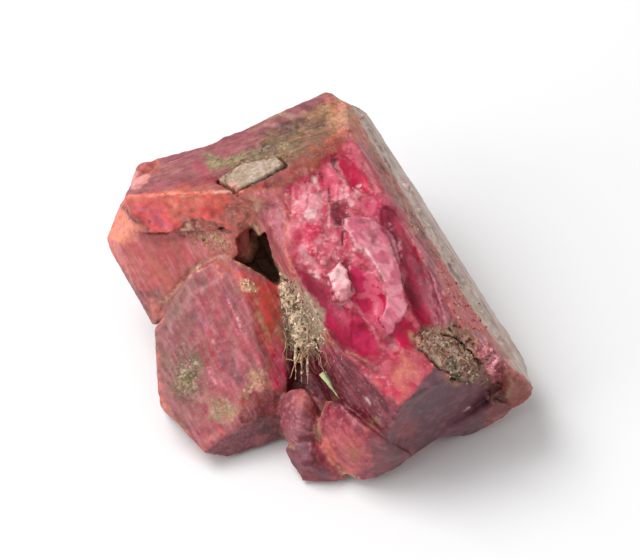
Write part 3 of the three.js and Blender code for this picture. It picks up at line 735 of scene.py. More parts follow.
# area: tint, other tint, size of its spots, way of its streaks, soft edge, grit, gloss, glint
COATS = (
    ("top", MAUVE, DUSK, 0.9, LEVEL, 6, 0.05, 0.32, 0.05),
    ("top_stain", OLIVE, BROWN, 0.9, LEVEL, 16, 0.2, 0.1, 0.05),
    ("top_olive", KHAKI, OLIVE, 0.5, LEVEL, 6, 0.4, 0.0, 0.1),
    ("top_ochre", MUSTARD, STRAW, 0.5, LEVEL, 9, 0.3, 0.1, 0.1),
    ("corner_orange", SALMON, STRAW, 0.7, LEVEL, 7, 0.4, 0.1, 0.1),
    ("rust_bevel", RUST, BROWN, 0.7, LEVEL, 12, 0.1, 0.15, 0.05),
    ("nub", TERRACOTTA, BRICK, 0.8, None, 3, 0.1, 0.2, 0.0),
    ("nub_white", BLUSH, PEACH, 0.7, None, 3, 0.2, 0.0, 0.0),
    ("ledge", CORAL, SALMON, 1.2, LEVEL, 3, 0.05, 0.3, 0.05),
    ("ledge_pink", CORAL, PINK, 1.0, LEVEL, 9, 0.0, 0.35, 0.05),
    ("ledge_end", BRICK, ROSE, 0.8, None, 3, 0.0, 0.2, 0.0),
    ("ledge_brown", TERRACOTTA, BROWN, 0.5, LEVEL, 8, 0.3, 0.0, 0.1),
    ("wedge", TERRACOTTA, ROSE, 1.0, STEEP, 4, 0.05, 0.32, 0.0),
    ("wedge_peach", PEACH, SALMON, 1.4, None, 12, 0.0, 0.1, 0.0),
    ("wedge_edge", SALMON, ROSE, 0.8, STEEP, 9, 0.1, 0.2, 0.0),
    ("wedge_low", DUSK, TAUPE, 0.7, STEEP, 12, 0.1, 0.1, 0.0),
    ("under_ledge", TERRACOTTA, BROWN, 0.6, None, 12, 0.4, 0.0, 0.2),
    ("swelling", TERRACOTTA, RUST, 0.7, STEEP, 5, 0.1, 0.2, 0.0),
    ("hollow", BROWN, KHAKI, 0.6, None, 4, 0.2, 0.0, 0.0),
    ("tablet", MAUVE, ROSE, 0.8, STEEP, 3, 0.05, 0.32, 0.05),
    ("tablet_grey", TAUPE, MAUVE, 0.9, STEEP, 22, 0.05, 0.3, 0.0),
    ("tablet_rim", CORAL, BRICK, 0.6, STEEP, 9, 0.1, 0.3, 0.05),
    ("rim_crimson", SCARLET, PINK, 0.8, STEEP, 9, 0.1, 0.4, 0.1),
    ("speckle_halo", OLIVE, MAUVE, 0.6, STEEP, 14, 0.2, 0.0, 0.1),
    ("speckle", KHAKI, OLIVE, 0.35, None, 8, 0.6, 0.0, 0.4),
    ("speckle_rim", STRAW, BRICK, 0.4, None, 9, 0.5, 0.0, 0.3),
    ("speckle_low", KHAKI, SALMON, 0.5, None, 12, 0.4, 0.0, 0.1),
    ("chip", CREAM, PEACH, 0.6, None, 2, 0.3, 0.1, 0.3),
    ("red_facet", BRICK, WINE, 0.8, None, 4, 0.1, 0.2, 0.0),
    ("foot", DUSK, PLUM, 1.0, LEVEL, 3, 0.1, 0.15, 0.05),
    ("mauve_lump", MAUVE, DUSK, 0.5, ROUND, 3, 0.05, 0.32, 0.0),
    ("lump_orange", TERRACOTTA, MAUVE, 0.5, ROUND, 9, 0.1, 0.1, 0.0),
    ("lower_lump", PLUM, GARNET, 1.1, None, 3, 0.05, 0.3, 0.05),
    ("tongue", ROSE, GARNET, 1.2, PLUNGE, 4, 0.05, 0.35, 0.1),
    ("tongue_red", ROSE, TERRACOTTA, 1.2, None, 28, 0.05, 0.3, 0.05),
    ("front_skin", ROSE, MAUVE, 0.6, STEEP, 4, 0.05, 0.3, 0.1),
    ("fracture", CRIMSON, ROSE, 1.3, EDGEWAYS, 4, 0.05, 0.6, 0.1),
    ("frost", ROSE, PINK, 0.8, None, 9, 0.05, 0.5, 0.2),
    ("frost_red", SCARLET, ROSE, 0.8, None, 6, 0.0, 0.5, 0.1),
    ("front_dusk", GARNET, ROSE, 0.8, EDGEWAYS, 6, 0.0, 0.6, 0.1),
    ("crimson_right", GARNET, CRIMSON, 1.6, EDGEWAYS, 5, 0.0, 0.3, 0.0),
    ("mauve_strip", ROSE, MAUVE, 0.6, EDGEWAYS, 6, 0.05, 0.4, 0.05),
    ("dusky_strip", DUSK, GARNET, 0.7, EDGEWAYS, 9, 0.05, 0.4, 0.0),
    ("coral_strip", ROSE, SALMON, 0.5, EDGEWAYS, 4, 0.3, 0.2, 0.1),
    ("crimson_top", SCARLET, CRIMSON, 1.0, EDGEWAYS, 3, 0.0, 0.4, 0.0),
    ("crimson_nook", SCARLET, PINK, 0.7, None, 5, 0.0, 0.7, 0.1),
    ("crimson_left", CRIMSON, GARNET, 1.8, EDGEWAYS, 4, 0.0, 0.35, 0.0),
    ("crimson_mid", CERISE, CRIMSON, 1.2, EDGEWAYS, 3, 0.0, 0.5, 0.0),
    ("crimson_low", CRIMSON, SCARLET, 1.0, None, 4, 0.0, 0.4, 0.0),
    # plate, tooth and white patch: pink stone made paler with painted sheen and glints of their smooth
    # faces
    ("plate", LILAC, PINK, 0.9, EDGEWAYS, 2, 0.0, 0.6, 0.0),
    ("tooth", PINK, BLUSH, 0.7, None, 1.5, 0.0, 0.7, 0.1),
    ("white_patch", BLUSH, FROST, 0.6, None, 2, 0.0, 0.7, 0.3),
    ("lower_front", ROSE, CRIMSON, 1.2, LEVEL, 8, 0.0, 0.35, 0.1),
    ("lower_glow", ROSE, SALMON, 1.4, None, 30, 0.0, 0.3, 0.1),
    # pale ash grey of the right face: partly its grey tone, partly painted sheen
    ("right_face", ASH, SILT, 0.5, EDGEWAYS, 2, 0.0, 0.2, 0.0),
    ("flank", GARNET, WINE, 0.8, PLUNGE, 4, 0.05, 0.4, 0.12),
    ("flank_top", GARNET, ROSE, 0.7, PLUNGE, 8, 0.1, 0.3, 0.12),
    ("crust_ground", SILT, BROWN, 0.7, None, 12, 0.4, 0.0, 0.2),
    ("end", SLATE, PLUM, 3.0, LEVEL, 3, 0.0, 0.3, 0.0),
    ("end_red", DUSK, SLATE, 2.0, PLUNGE, 16, 0.0, 0.3, 0.0),
    ("notch", DUSK, BROWN, 0.8, None, 4, 0.1, 0.1, 0.0),
    ("corner", BRICK, BROWN, 0.9, EDGEWAYS, 3, 0.1, 0.2, 0.05),
    ("base", DUSK, PLUM, 0.9, LEVEL, 4, 0.05, 0.2, 0.05),
    ("patch_ground", BROWN, TAUPE, 0.5, EDGEWAYS, 12, 0.3, 0.0, 0.1),
    ("patch_crystals", ROSE, BLUSH, 0.7, None, 5, 0.2, 0.6, 0.3),
)
# feature: lines and spots on it, each a path, a width, a tint and a grit
STROKES = {
    "top": (
        ([(150, 194), (182, 186)], 7, ROSE, 0.0),
        ([(180, 187), (205, 181), (228, 178)], 8, BRICK, 0.05),
        ([(165, 193), (190, 189), (216, 186), (236, 186)], 4, ORANGE, 0.1),
        ([(208, 178), (220, 180)], 8, GARNET, 0.0),
        ([(309, 104)], 12, PLUM, 0.05),
        ([(262, 135), (276, 130)], 9, PLUM, 0.05),
        ([(196, 166), (212, 172)], 8, ROSE, 0.0),
        ([(276, 113), (291, 117)], 5, KHAKI, 0.4),
        ([(284, 147), (292, 153)], 7, KHAKI, 0.5),
        ([(209, 154), (212, 163), (228, 162), (244, 157)], 4, KHAKI, 0.3),
        ([(242, 163), (256, 156), (276, 148)], 3, UMBER, 0.1),
        ([(284, 128), (300, 118), (322, 118)], 18, UMBER, 0.2),
        ([(246, 150), (262, 146), (276, 150)], 6, UMBER, 0.2),
        ([(222, 190), (240, 190), (262, 180), (281, 167)], 2.5, UMBER, 0.1),
        ([(326, 96), (338, 108)], 7, SALMON, 0.2),
        ([(330, 118), (350, 112)], 7, STRAW, 0.2),
    ),
    "bevel under the top": (
        ([(240, 190), (262, 184), (290, 170), (300, 160)], 6, BRICK, 0.1),
        ([(262, 187), (286, 178), (300, 168)], 5, GARNET, 0.0),
        ([(310, 150), (328, 141), (344, 132)], 4, ORANGE, 0.1),
        ([(288, 176), (308, 166), (330, 152), (348, 138)], 5, RUST, 0.1),
        ([(270, 176), (292, 160)], 5, OLIVE, 0.2),
        ([(248, 190), (262, 189)], 4, ORANGE, 0.1),
    ),
    "ledge": (
        (LEDGE_CRACK, 2.6, UMBER, 0.1),
        (LEDGE_TOP, 3.5, PEACH, 0.2),
        # cream spots on the ledge's top edge: painted highlights
        ([(180, 197), (192, 197)], 2.2, CREAM, 0.1),
        ([(213, 193), (231, 192)], 2.6, CREAM, 0.3),
        ([(186, 208), (190, 216)], 8, SALMON, 0.0),
        ([(142, 206), (154, 214), (162, 226)], 7, PINK, 0.0),
        ([(170, 203), (196, 200)], 8, PEACH, 0.1),
        ([(206, 206), (222, 204)], 10, ORANGE, 0.05),
        ([(212, 215), (224, 220)], 6, BRICK, 0.05),
        ([(124, 206), (130, 216), (136, 223)], 3.5, GARNET, 0.0),
    ),
    "wedge": (
        ([(108, 232), (122, 236)], 8, PEACH, 0.0),
        ([(182, 230), (190, 228)], 5, CREAM, 0.3),
        ([(204, 236), (224, 244)], 7, STRAW, 0.5),
        ([(165, 240), (184, 238)], 9, BRICK, 0.05),
        ([(150, 300), (158, 318)], 9, SALMON, 0.1),
        ([(228, 256), (242, 262)], 6, RUST, 0.1),
    ),
    "tablet": (
        (TABLET_TOP, 4, STRAW, 0.4),
        (TABLET_FOOT, 8, SALMON, 0.1),
        ([(198, 270), (199, 266)], 3, CREAM, 0.3),
        ([(212, 261), (224, 267), (240, 274)], 6, ORANGE, 0.3),
        ([(214, 267), (221, 277)], 4, PEACH, 0.2),
        ([(258, 284), (270, 306), (277, 336)], 10, ORANGE, 0.1),
        ([(262, 300), (270, 330), (272, 352)], 6, CORAL, 0.0),
        ([(256, 300), (262, 322), (272, 346)], 5, STRAW, 0.3),
        ([(278, 345), (280, 366)], 5, PINK, 0.0),
        ([(228, 300), (238, 322), (246, 340)], 1.6, BLUSH, 0.1),
        ([(238, 318), (241, 326)], 1.8, FROST, 0.1),
        ([(209, 368), (216, 384)], 2.4, BLUSH, 0.1),
        ([(198, 316), (206, 330)], 2, LILAC, 0.1),
        ([(212, 340), (218, 352)], 2, BLUSH, 0.1),
        ([(212, 300), (224, 336)], 7, ROSE, 0.0),
        ([(240, 330), (258, 366)], 7, ROSE, 0.0),
        ([(222, 350), (238, 376)], 9, PLUM, 0.1),
        ([(183, 364), (188, 368)], 4, BLUSH, 0.5),
        ([(214, 422), (232, 414)], 9, KHAKI, 0.3),
        ([(210, 440), (226, 434)], 5, SALMON, 0.1),
    ),
    "foot of the tablet": (
        ([(262, 420), (275, 436), (282, 448)], 9, UMBER, 0.1),
        ([(278, 396), (279, 416)], 7, WINE, 0.0),
        ([(240, 404), (262, 402)], 7, BRICK, 0.1),
        ([(244, 440), (262, 436)], 8, MAUVE, 0.05),
    ),
    "lumps": (
        ([(292, 390), (304, 398), (310, 410)], 7, BRICK, 0.1),
        # dark wine in the crevice below the mauve lump: painted shade
        ([(303, 440), (318, 436)], 7, WINE, 0.1),
        ([(284, 436), (294, 448)], 4, KHAKI, 0.3),
        ([(315, 426), (318, 440)], 3.5, STRAW, 0.2),
        ([(300, 474), (316, 478)], 6, BRICK, 0.05),
        ([(312, 454), (320, 470)], 9, WINE, 0.0),
    ),
    "tongue": (
        (TONGUE_LEFT, 3.4, STRAW, 0.2),
        ([(328, 404), (338, 408)], 8, PLUM, 0.1),
        ([(336, 412), (350, 422), (364, 428)], 18, GARNET, 0.0),
        ([(326, 438), (336, 460), (354, 476)], 9, SALMON, 0.0),
        ([(376, 424)], 9, KHAKI, 0.2),
        ([(356, 455)], 9, MUSTARD, 0.1),
        ([(344, 474), (358, 480)], 2.6, CREAM, 0.2),
        ([(376, 440), (386, 470)], 10, DUSK, 0.05),
        ([(404, 440), (412, 432)], 7, WINE, 0.05),
    ),
    "front": (
        ([(264, 208), (270, 222), (274, 240)], 6, GARNET, 0.0),
        ([(250, 200), (258, 208)], 8, STRAW, 0.2),
        ([(288, 196), (290, 214), (289, 250), (295, 284)], 4, SALMON, 0.1),
        ([(276, 200), (280, 236)], 5, LILAC, 0.1),
        (CLEFT_RIM, 2.2, STRAW, 0.2),
        ([(312, 176), (318, 186)], 4, FROST, 0.2),
        ([(346, 196), (350, 204), (360, 186)], 5, FROST, 0.2),
        ([(336, 162), (342, 175), (346, 190)], 2.4, BLUSH, 0.1),
        ([(334, 314), (350, 326), (368, 340)], 14, CERISE, 0.0),
        ([(318, 205), (332, 202)], 2.4, STRAW, 0.1),
        ([(334, 204), (342, 224)], 9, GARNET, 0.0),
        ([(340, 236), (350, 250)], 6, SCARLET, 0.0),
        ([(352, 250), (366, 252), (372, 258)], 3, FROST, 0.1),
        ([(302, 228), (318, 226)], 6, SCARLET, 0.0),
        ([(304, 262), (326, 264)], 6, BLUSH, 0.2),
        ([(370, 196), (384, 222)], 9, CERISE, 0.0),
        # dark wine slit: painted shade of a recess over the deep red stone
        ([(386, 212), (392, 232), (400, 250)], 4, WINE, 0.0),
        # blush spot in the slit: painted highlight
        ([(389, 223), (392, 229)], 1.6, BLUSH, 0.0),
        ([(398, 240), (402, 256)], 3, BLUSH, 0.2),
        # white line along the plate's left edge: painted highlight
        (PLATE_EDGE, 1.2, FROST, 0.0),
        ([(355, 250), (362, 247), (368, 257)], 4, BLUSH, 0.0),
        ([(342, 303), (354, 302), (360, 310)], 4, BLUSH, 0.0),
        ([(392, 240), (400, 268), (408, 304)], 1.4, BLUSH, 0.0),
        ([(356, 218), (372, 232), (378, 246)], 9, MAUVE, 0.0),
        ([(362, 310), (372, 326), (378, 340)], 2, BLUSH, 0.1),
        ([(374, 304), (382, 320)], 4, PINK, 0.0),
        ([(310, 272), (318, 278)], 4, FROST, 0.2),
        ([(345, 351), (360, 357), (374, 362)], 1.6, STRAW, 0.1),
        ([(376, 338), (384, 350), (396, 362)], 3, PINK, 0.0),
    ),
    "lower front": (
        ([(396, 374), (404, 362)], 11, SALMON, 0.05),
        ([(390, 386), (402, 394)], 8, SCARLET, 0.05),
        ([(360, 368), (376, 392)], 9, GARNET, 0.0),
        ([(365, 376), (386, 377), (388, 384)], 1.4, BLUSH, 0.1),
        # small frost-white dot: painted glint
        ([(366, 398), (370, 405)], 2.6, FROST, 0.1),
        ([(410, 334), (420, 344)], 5, STRAW, 0.4),
        # small frost-white dot: painted glint
        ([(432, 360), (433, 366)], 1.8, FROST, 0.0),
    ),
    "right edge": (
        (RIGHT_EDGE, 2.2, SALMON, 0.2),
        ([(356, 132), (366, 148)], 7, SALMON, 0.2),
        ([(374, 160), (386, 186), (394, 198)], 4, RUST, 0.4),
        ([(402, 206), (416, 230)], 7, STRAW, 0.3),
        ([(420, 238), (436, 262)], 5, BRICK, 0.5),
    ),
    "right face": (
        ([(366, 124), (384, 152)], 2.5, TAUPE, 0.1),
        ([(384, 158), (396, 182)], 2.5, SLATE, 0.1),
        ([(410, 214), (430, 248)], 4, SLATE, 0.1),
        ([(448, 262), (462, 286)], 3, SLATE, 0.1),
    ),
    "matrix patch": (
        ([(448, 377), (456, 382)], 6, MUSTARD, 0.3),
        ([(466, 336), (476, 344)], 6, MUSTARD, 0.3),
        ([(448, 358), (456, 374), (466, 380)], 7, SOOT, 0.2),
        ([(430, 346), (444, 352)], 8, BROWN, 0.4),
        ([(428, 330), (450, 330)], 7, KHAKI, 0.5),
        ([(462, 344), (476, 366)], 2, STRAW, 0.4),
        ([(486, 340), (500, 360)], 4, BRICK, 0.3),
    ),
    "end": (
        ([(465, 411), (470, 408)], 2, FROST, 0.0),
        # dark umber where the deep pit is filled: painted shade of the notch
        ([(496, 388), (499, 396), (493, 400)], 4, UMBER, 0.05),
        ([(508, 372), (514, 386), (506, 398)], 4, KHAKI, 0.3),
        ([(512, 370), (528, 384)], 4, SALMON, 0.1),
        ([(402, 410), (410, 436)], 9, DUSK, 0.05),
    ),
}


# tint, size, share and way of the stains that the whole cluster has under its coats
STAINS = (
    (ROSE, 6, 0.4, None),
    (PLUM, 5, 0.3, None),
    (TERRACOTTA, 2.5, 0.3, None),
    (BROWN, 2.0, 0.18, None),
    (KHAKI, 1.2, 0.1, None),
    (SALMON, 0.5, 0.2, LEVEL),
    (WINE, 0.6, 0.12, None),
)
# area, tint and way of its fine veins
VEINED_AREAS = (
    ("tablet", BLUSH, STEEP),
    ("tablet", KHAKI, STEEP),
    ("tablet", PLUM, STEEP),
    ("top", STRAW, LEVEL),
    ("top", PLUM, LEVEL),
    ("top_stain", MUSTARD, LEVEL),
    ("rust_bevel", ORANGE, LEVEL),
    ("rust_bevel", UMBER, LEVEL),
    ("wedge", BLUSH, STEEP),
    ("wedge", TAUPE, STEEP),
    ("front_skin", BLUSH, STEEP),
    ("front_skin", STRAW, STEEP),
    ("mauve_strip", BLUSH, EDGEWAYS),
    ("dusky_strip", LILAC, EDGEWAYS),
    ("flank", PINK, PLUNGE),
    ("flank", SOOT, PLUNGE),
    ("right_face", SLATE, EDGEWAYS),
    ("right_face", FROST, EDGEWAYS),
    ("coral_strip", BLUSH, EDGEWAYS),
    ("mauve_lump", BLUSH, ROUND),
    ("mauve_lump", WINE, ROUND),
    ("tongue", PINK, PLUNGE),
    ("tongue", WINE, PLUNGE),
    ("plate", BLUSH, EDGEWAYS),
    ("plate", ROSE, EDGEWAYS),
    ("crimson_left", CERISE, EDGEWAYS),
    ("crimson_right", SCARLET, EDGEWAYS),
    ("ledge", PEACH, LEVEL),
    ("ledge", ROSE, LEVEL),
)
# area: tint of some of its facets, their size, how many of them, seed
FACETS = {
    "fracture": ((GARNET, 2.2, 0.12, 11), (PINK, 0.9, 0.25, 12)),
    "frost": ((BLUSH, 0.9, 0.16, 13), (SCARLET, 0.8, 0.2, 19), (BLUSH, 0.4, 0.14, 20)),
    "crimson_mid": ((PINK, 1.4, 0.18, 35),),
    # the plate's blush and the tooth's frost facets are partly painted sheen and glints
    "plate": ((BLUSH, 0.9, 0.15, 36),),
    "tooth": ((FROST, 0.8, 0.35, 37), (ROSE, 0.6, 0.15, 40)),
    "patch_crystals": ((BLUSH, 0.9, 0.3, 26), (WINE, 0.5, 0.25, 38)),
    "red_facet": ((GARNET, 1.0, 0.3, 28),),
    "lower_front": ((SCARLET, 1.8, 0.3, 30), (PINK, 0.9, 0.15, 46)),
}
CLEAR_AREAS = ("crimson_right", "crimson_left", "crimson_mid", "crimson_low", "crimson_top", "plate")

# where the deep pit and the thin rim of the corner show, and how far they reach
PIT = (497, 393, 12)
THIN_RIM = (487, 358, 18)
# compass way and slope of a face that the view shows little of, its two tints, its streaks' way
FACES = (
    # the right face's pale ash, partly painted sheen
    (18, 33, ASH, TAUPE, EDGEWAYS),
    (60, 10, MAUVE, TAUPE, UPWARD),
    (110, 10, DUSK, BROWN, LEVEL),
    (160, 10, TERRACOTTA, MAUVE, LEVEL),
    (-30, -10, DUSK, SLATE, UPWARD),
    (-100, -20, TERRACOTTA, ROSE, STEEP),
    (-160, -10, ROSE, TAUPE, STEEP),
)


def clear_stone(skin):
    """1 where the broken stone is clear."""
    return np.max([skin.within(AREAS[name], 5) for name in CLEAR_AREAS], axis=0)


def paint_the_cluster(skin):
    """Faces and stains first, then a coat for each area, its veins, and the strokes on top."""
    skin.tint[:] = linear(*DUSK)
    skin.paint(skin.everywhere, grit=0.15, gloss=0.2, glint=0.05)
    for i, (azimuth, slope, tint, other, way) in enumerate(FACES):
        mask = ramp(0.8, 0.95, skin.normals @ compass(azimuth, slope))
        skin.paint(mask, tint)
        skin.mottle(0.7 * mask, other, 0.5, 0.45, 110 + i, way)
    for i, (tint, size, share, way) in enumerate(STAINS):
        skin.mottle(0.75 * skin.everywhere, tint, size, share, 1 + i, way)
    for i, (name, tint, other, size, way, soft, grit, gloss, glint) in enumerate(COATS):
        mask = skin.within(AREAS[name], soft)
        skin.paint(mask, tint, grit=grit, gloss=gloss, glint=glint)
        skin.mottle(0.45 * mask, other, 2.5 * size, 0.45, 310 + i)
        skin.mottle(0.6 * mask, other, 0.45 * size, 0.4, 410 + i, way)
        for tint, size, share, seed in FACETS.get(name, ()):
            skin.mottle(0.65 * mask, tint, size, share, seed, sharp=0.25, kind=facets)
    for i, (name, tint, way) in enumerate(VEINED_AREAS):
        skin.mottle(0.3 * skin.within(AREAS[name], 8), tint, 0.22, 0.15, 510 + i, way, 0.4)
    draw(skin, *STROKES)
    skin.spread(30)
    stony = 1 - 0.8 * clear_stone(skin)
    skin.mottle(0.16 * stony, UMBER, 0.8, 0.3, 305)
    skin.mottle(0.10 * stony, BLUSH, 0.6, 0.25, 306)


def draw(skin, *features):
    """Draws the strokes of some features, broken up as stains and veins are."""
    for i, feature in enumerate(features):
        for path, width, tint, grit in STROKES[feature]:
            mask = skin.along(path, width)
            broken = skin.noise(mask > 0, clouds, 0.12 + 0.05 * width, 200 + i)
            skin.paint(mask * ramp(-0.9, 0.5, broken) * 0.85, tint, grit=grit)


def fill_the_pit(skin):
    """Leaves only a shallow notch where the stone has a deep pit."""
    x, y, width = PIT
    away = np.hypot(skin.x - x, skin.y - y)
    height = skin.points @ TOWARD
    rim = (skin.seen > 0.5) & (away > width) & (away < width + 4)
    bottom = np.median(height[rim]) - 0.5
    deep = (away < width) & (height < bottom) & (skin.normals @ TOWARD > -0.3)
    skin.points += (deep * (bottom - height))[:, None] * TOWARD
    skin.soften(12, ramp(width + 2, width - 3, away) * (height > bottom - 1))


def wear_the_rim(skin):
    """Wears off the thin rim of stone beside the matrix."""
    x, y, width = THIN_RIM
    away = np.hypot(skin.x - x, skin.y - y)
    height = skin.points @ TOWARD
    level = np.median(height[(skin.seen > 0.5) & (away < width)])
    skin.soften(14, ramp(width, width - 6, away) * (np.abs(height - level) < 3))


# area, size of its crumbs, how deep they go, seed
ROUGH_AREAS = (
    ("under_ledge", 0.6, 0.2, 21),
    ("top_ochre", 0.8, 0.12, 22),
    ("corner_orange", 0.7, 0.15, 23),
    ("corner", 1.2, 0.15, 24),
    ("patch_ground", 0.7, 0.3, 25),
    ("patch_crystals", 0.9, 0.06, 26),
    ("rust_bevel", 0.9, 0.08, 27),
    ("red_facet", 1.0, 0.15, 28),
    ("chip", 0.6, 0.12, 29),
    ("lower_front", 1.8, 0.12, 30),
    ("speckle", 0.5, 0.1, 31),
    ("top_olive", 0.5, 0.08, 32),
    ("crust_ground", 0.6, 0.35, 33),
    ("tongue", 1.8, 0.1, 34),
    ("coral_strip", 0.7, 0.2, 14),
    ("plate", 0.9, 0.12, 36),
    ("tooth", 0.8, 0.12, 37),
    ("crimson_mid", 1.4, 0.2, 35),
)
# area, way of its ribs, their size and depth, seed
RIBBED_AREAS = (
    ("flank", PLUNGE, 0.7, 0.12, 15),
    ("tablet", STEEP, 0.6, 0.03, 16),
    ("top", LEVEL, 0.7, 0.05, 17),
    ("mauve_lump", ROUND, 0.35, 0.09, 41),
    ("mauve_strip", EDGEWAYS, 0.6, 0.08, 42),
    ("right_face", EDGEWAYS, 0.6, 0.07, 43),
    ("front_skin", STEEP, 0.5, 0.05, 44),
    ("plate", EDGEWAYS, 0.4, 0.03, 45),
)


def carve_the_cluster(skin):
    """Wears the smooth parts, fills and files the corner, then chips, ribs and crumbles the rest."""
    skin.soften(2)
    for name, steps in (("tongue", 6), ("mauve_lump", 5), ("lower_lump", 4), ("end_red", 4)):
        skin.soften(steps, skin.within(AREAS[name], 8))
    clear = clear_stone(skin)
    skin.soften(30, clear)
    fill_the_pit(skin)
    wear_the_rim(skin)
    skin.turn_out()
    edge = skin.bend(4)
    worn = ramp(0.03, 0.12, edge)
    for _ in range(2):
        worn = skin.averaged(worn)
    height = 0.05 * skin.noise(skin.everywhere, clouds, 3.2, 1)
    height = height + 0.02 * skin.noise(skin.everywhere, clouds, 0.9, 2)
    height -= 0.22 * worn * ramp(0.0, 0.7, skin.noise(worn > 0, clouds, 0.9, 3))
    hidden = 1 - skin.seen
    height += skin.noise(0.12 * hidden, clouds, 2.2, 6) + skin.noise(0.18 * hidden, chips, 1.7, 7)
    height += skin.noise(0.06 * hidden, clouds, 0.6, 8, EDGEWAYS)
    ledge = skin.within(AREAS["ledge"], 4)
    height += skin.noise(0.25 * ledge, clouds, 2.0, 4) + skin.noise(0.12 * ledge, clouds, 0.8, 5)
    rough = skin.within(AREAS["fracture"], 6) * (1 - 0.85 * clear)
    height += skin.noise(0.3 * rough, chips, 2.2, 11) + skin.noise(0.2 * rough, chips, 0.9, 12)
    height += skin.noise(0.15 * clear, chips, 3.5, 18)
    height += skin.noise(0.4 * skin.within(AREAS["frost"], 8), chips, 1.3, 13)
    for name, raised in (("plate", 0.16), ("tooth", 0.18), ("white_patch", 0.06)):
        height += raised * skin.within(AREAS[name], 2)
    for name, size, depth, seed in ROUGH_AREAS:
        height += skin.noise(skin.within(AREAS[name], 8) * depth / size, chips, size, seed)
    for name, way, size, depth, seed in RIBBED_AREAS:
        height += skin.noise(skin.within(AREAS[name], 6) * depth, clouds, size, seed, way)
    skin.lift(height)
    skin.points[:, 2] = np.maximum(skin.points[:, 2], 0)
    skin.turn_out()


def cluster():
    """The spinel, painted before it is carved, with painted shade in its creases and pale edges that are
    partly wear, partly painted highlight.
    """
    skin = Skin("spinel_cluster", voxel=0.18, slot="spinel")
    skin.look()
    paint_the_cluster(skin)
    carve_the_cluster(skin)
    bend = skin.bend(3)
    # painted shade: the colour is darkened in the creases
    skin.tint *= (1 - 0.65 * ramp(0.02, 0.12, -bend))[:, None]
    # pale salmon on the edges: partly wear, partly painted highlight
    skin.paint(0.35 * ramp(0.03, 0.14, bend) * (skin.seen > 0), SALMON)
    skin.finish(stone_finish("spinel_stone"))
    return skin.object


# ---------------------------------------------------------------- the other minerals
RUSTY_ABOVE = (13.2, 14.4)  # heights where the crust begins to be rusty, and is so fully


def crust():
    """The fibrous crust of the cleft."""
    skin = Skin("cleft_crust", voxel=0.1, slot="crust")
    skin.look()
    everywhere = skin.everywhere
    skin.tint[:] = linear(*SILT)
    skin.mottle(everywhere, OLIVE, 0.8, 0.4, 51)
    skin.mottle(everywhere, UMBER, 0.5, 0.25, 58)
    skin.mottle(everywhere, CREAM, 0.4, 0.25, 52)
    skin.mottle(everywhere * ramp(*RUSTY_ABOVE, skin.points[:, 2]), RUST, 0.8, 0.5, 53)
    skin.mottle(0.5 * everywhere, CREAM, 0.4, 0.3, 56, sharp=0.3, kind=facets)
    skin.mottle(0.5 * everywhere, UMBER, 0.5, 0.25, 57, sharp=0.3, kind=facets)
    skin.paint(everywhere, grit=0.25, glint=0.3)
    skin.lift(0.5 * chips(skin.points, 0.4, 54) + 0.1 * clouds(skin.points, 0.8, 55))
    stone = stone_finish("crust_crumbs", rough=0.8, gloss_share=0.2, bump=0.06, glow=0.0, grain=0.18)
    skin.finish(stone)
    return skin.object


def matrix():
    """The crumbly matrix at the corner."""
    skin = Skin("matrix_patch", voxel=0.1, slot="matrix")
    skin.look()
    everywhere = skin.everywhere
    skin.tint[:] = linear(*BROWN)
    skin.mottle(everywhere, UMBER, 0.8, 0.45, 61, EDGEWAYS)
    skin.mottle(0.7 * everywhere, SILT, 0.5, 0.2, 62, EDGEWAYS)
    skin.mottle(everywhere, TAUPE, 0.45, 0.3, 63, sharp=0.15, kind=facets)
    skin.paint(everywhere, grit=0.6, glint=0.2)
    draw(skin, "matrix patch")
    skin.lift(0.1 + 0.5 * chips(skin.points, 0.45, 63) + 0.15 * clouds(skin.points, 0.9, 64))
    stone = stone_finish("matrix_crumbs", rough=0.8, gloss_share=0.2, bump=0.06, glow=0.0, grain=0.2)
    skin.finish(stone)
    return skin.object


TOP_FACE = compass(141, 73.5)  # the way that the top face looks
LATH_GROWN, LATH_SUNK = 0.12, 0.35
LATH_LEFT = (250, 232)  # across the picture, where the lath begins to be pink, and is so fully


def lath():
    """The pale lath, worn nearly level with the top face."""
    skin = Skin("pale_lath", voxel=0.06, slot="lath")
    skin.soften(8)
    skin.turn_out()
    skin.lift(np.full(skin.count, LATH_GROWN))
    skin.points = skin.points - LATH_SUNK * TOP_FACE
    skin.turn_out()
    skin.look()
    everywhere = skin.everywhere
    face = skin.within(AREAS["lath_face"], 3)
    skin.tint[:] = linear(*BROWN)
    skin.mottle(0.7 * everywhere, OLIVE, 0.5, 0.5, 76, LEVEL)
    skin.paint(0.9 * face, TAUPE)
    skin.paint(0.5 * face, SILT)
    skin.mottle(0.5 * face, SILT, 0.5, 0.6, 71, LEVEL)
    skin.mottle(0.6 * ramp(*LATH_LEFT, skin.x), SALMON, 0.8, 0.6, 72)
    skin.mottle(0.4 * everywhere, ASH, 0.3, 0.3, 73)
    skin.paint(everywhere, grit=0.2, glint=0.2)
    edge = ramp(0.01, 0.05, skin.bend(4))
    # lighter straw on the lath's edges: painted highlight
    skin.paint(edge * 0.4, STRAW)
    worn = edge * ramp(0, 0.6, clouds(skin.points, 0.5, 74))
    skin.lift(0.05 * clouds(skin.points, 0.7, 75) - 0.12 * worn)
    skin.finish(stone_finish("lath_pearl", rough=0.5, gloss_share=0.2, bump=0.03, glow=0.1, grain=0.2))
    return skin.object


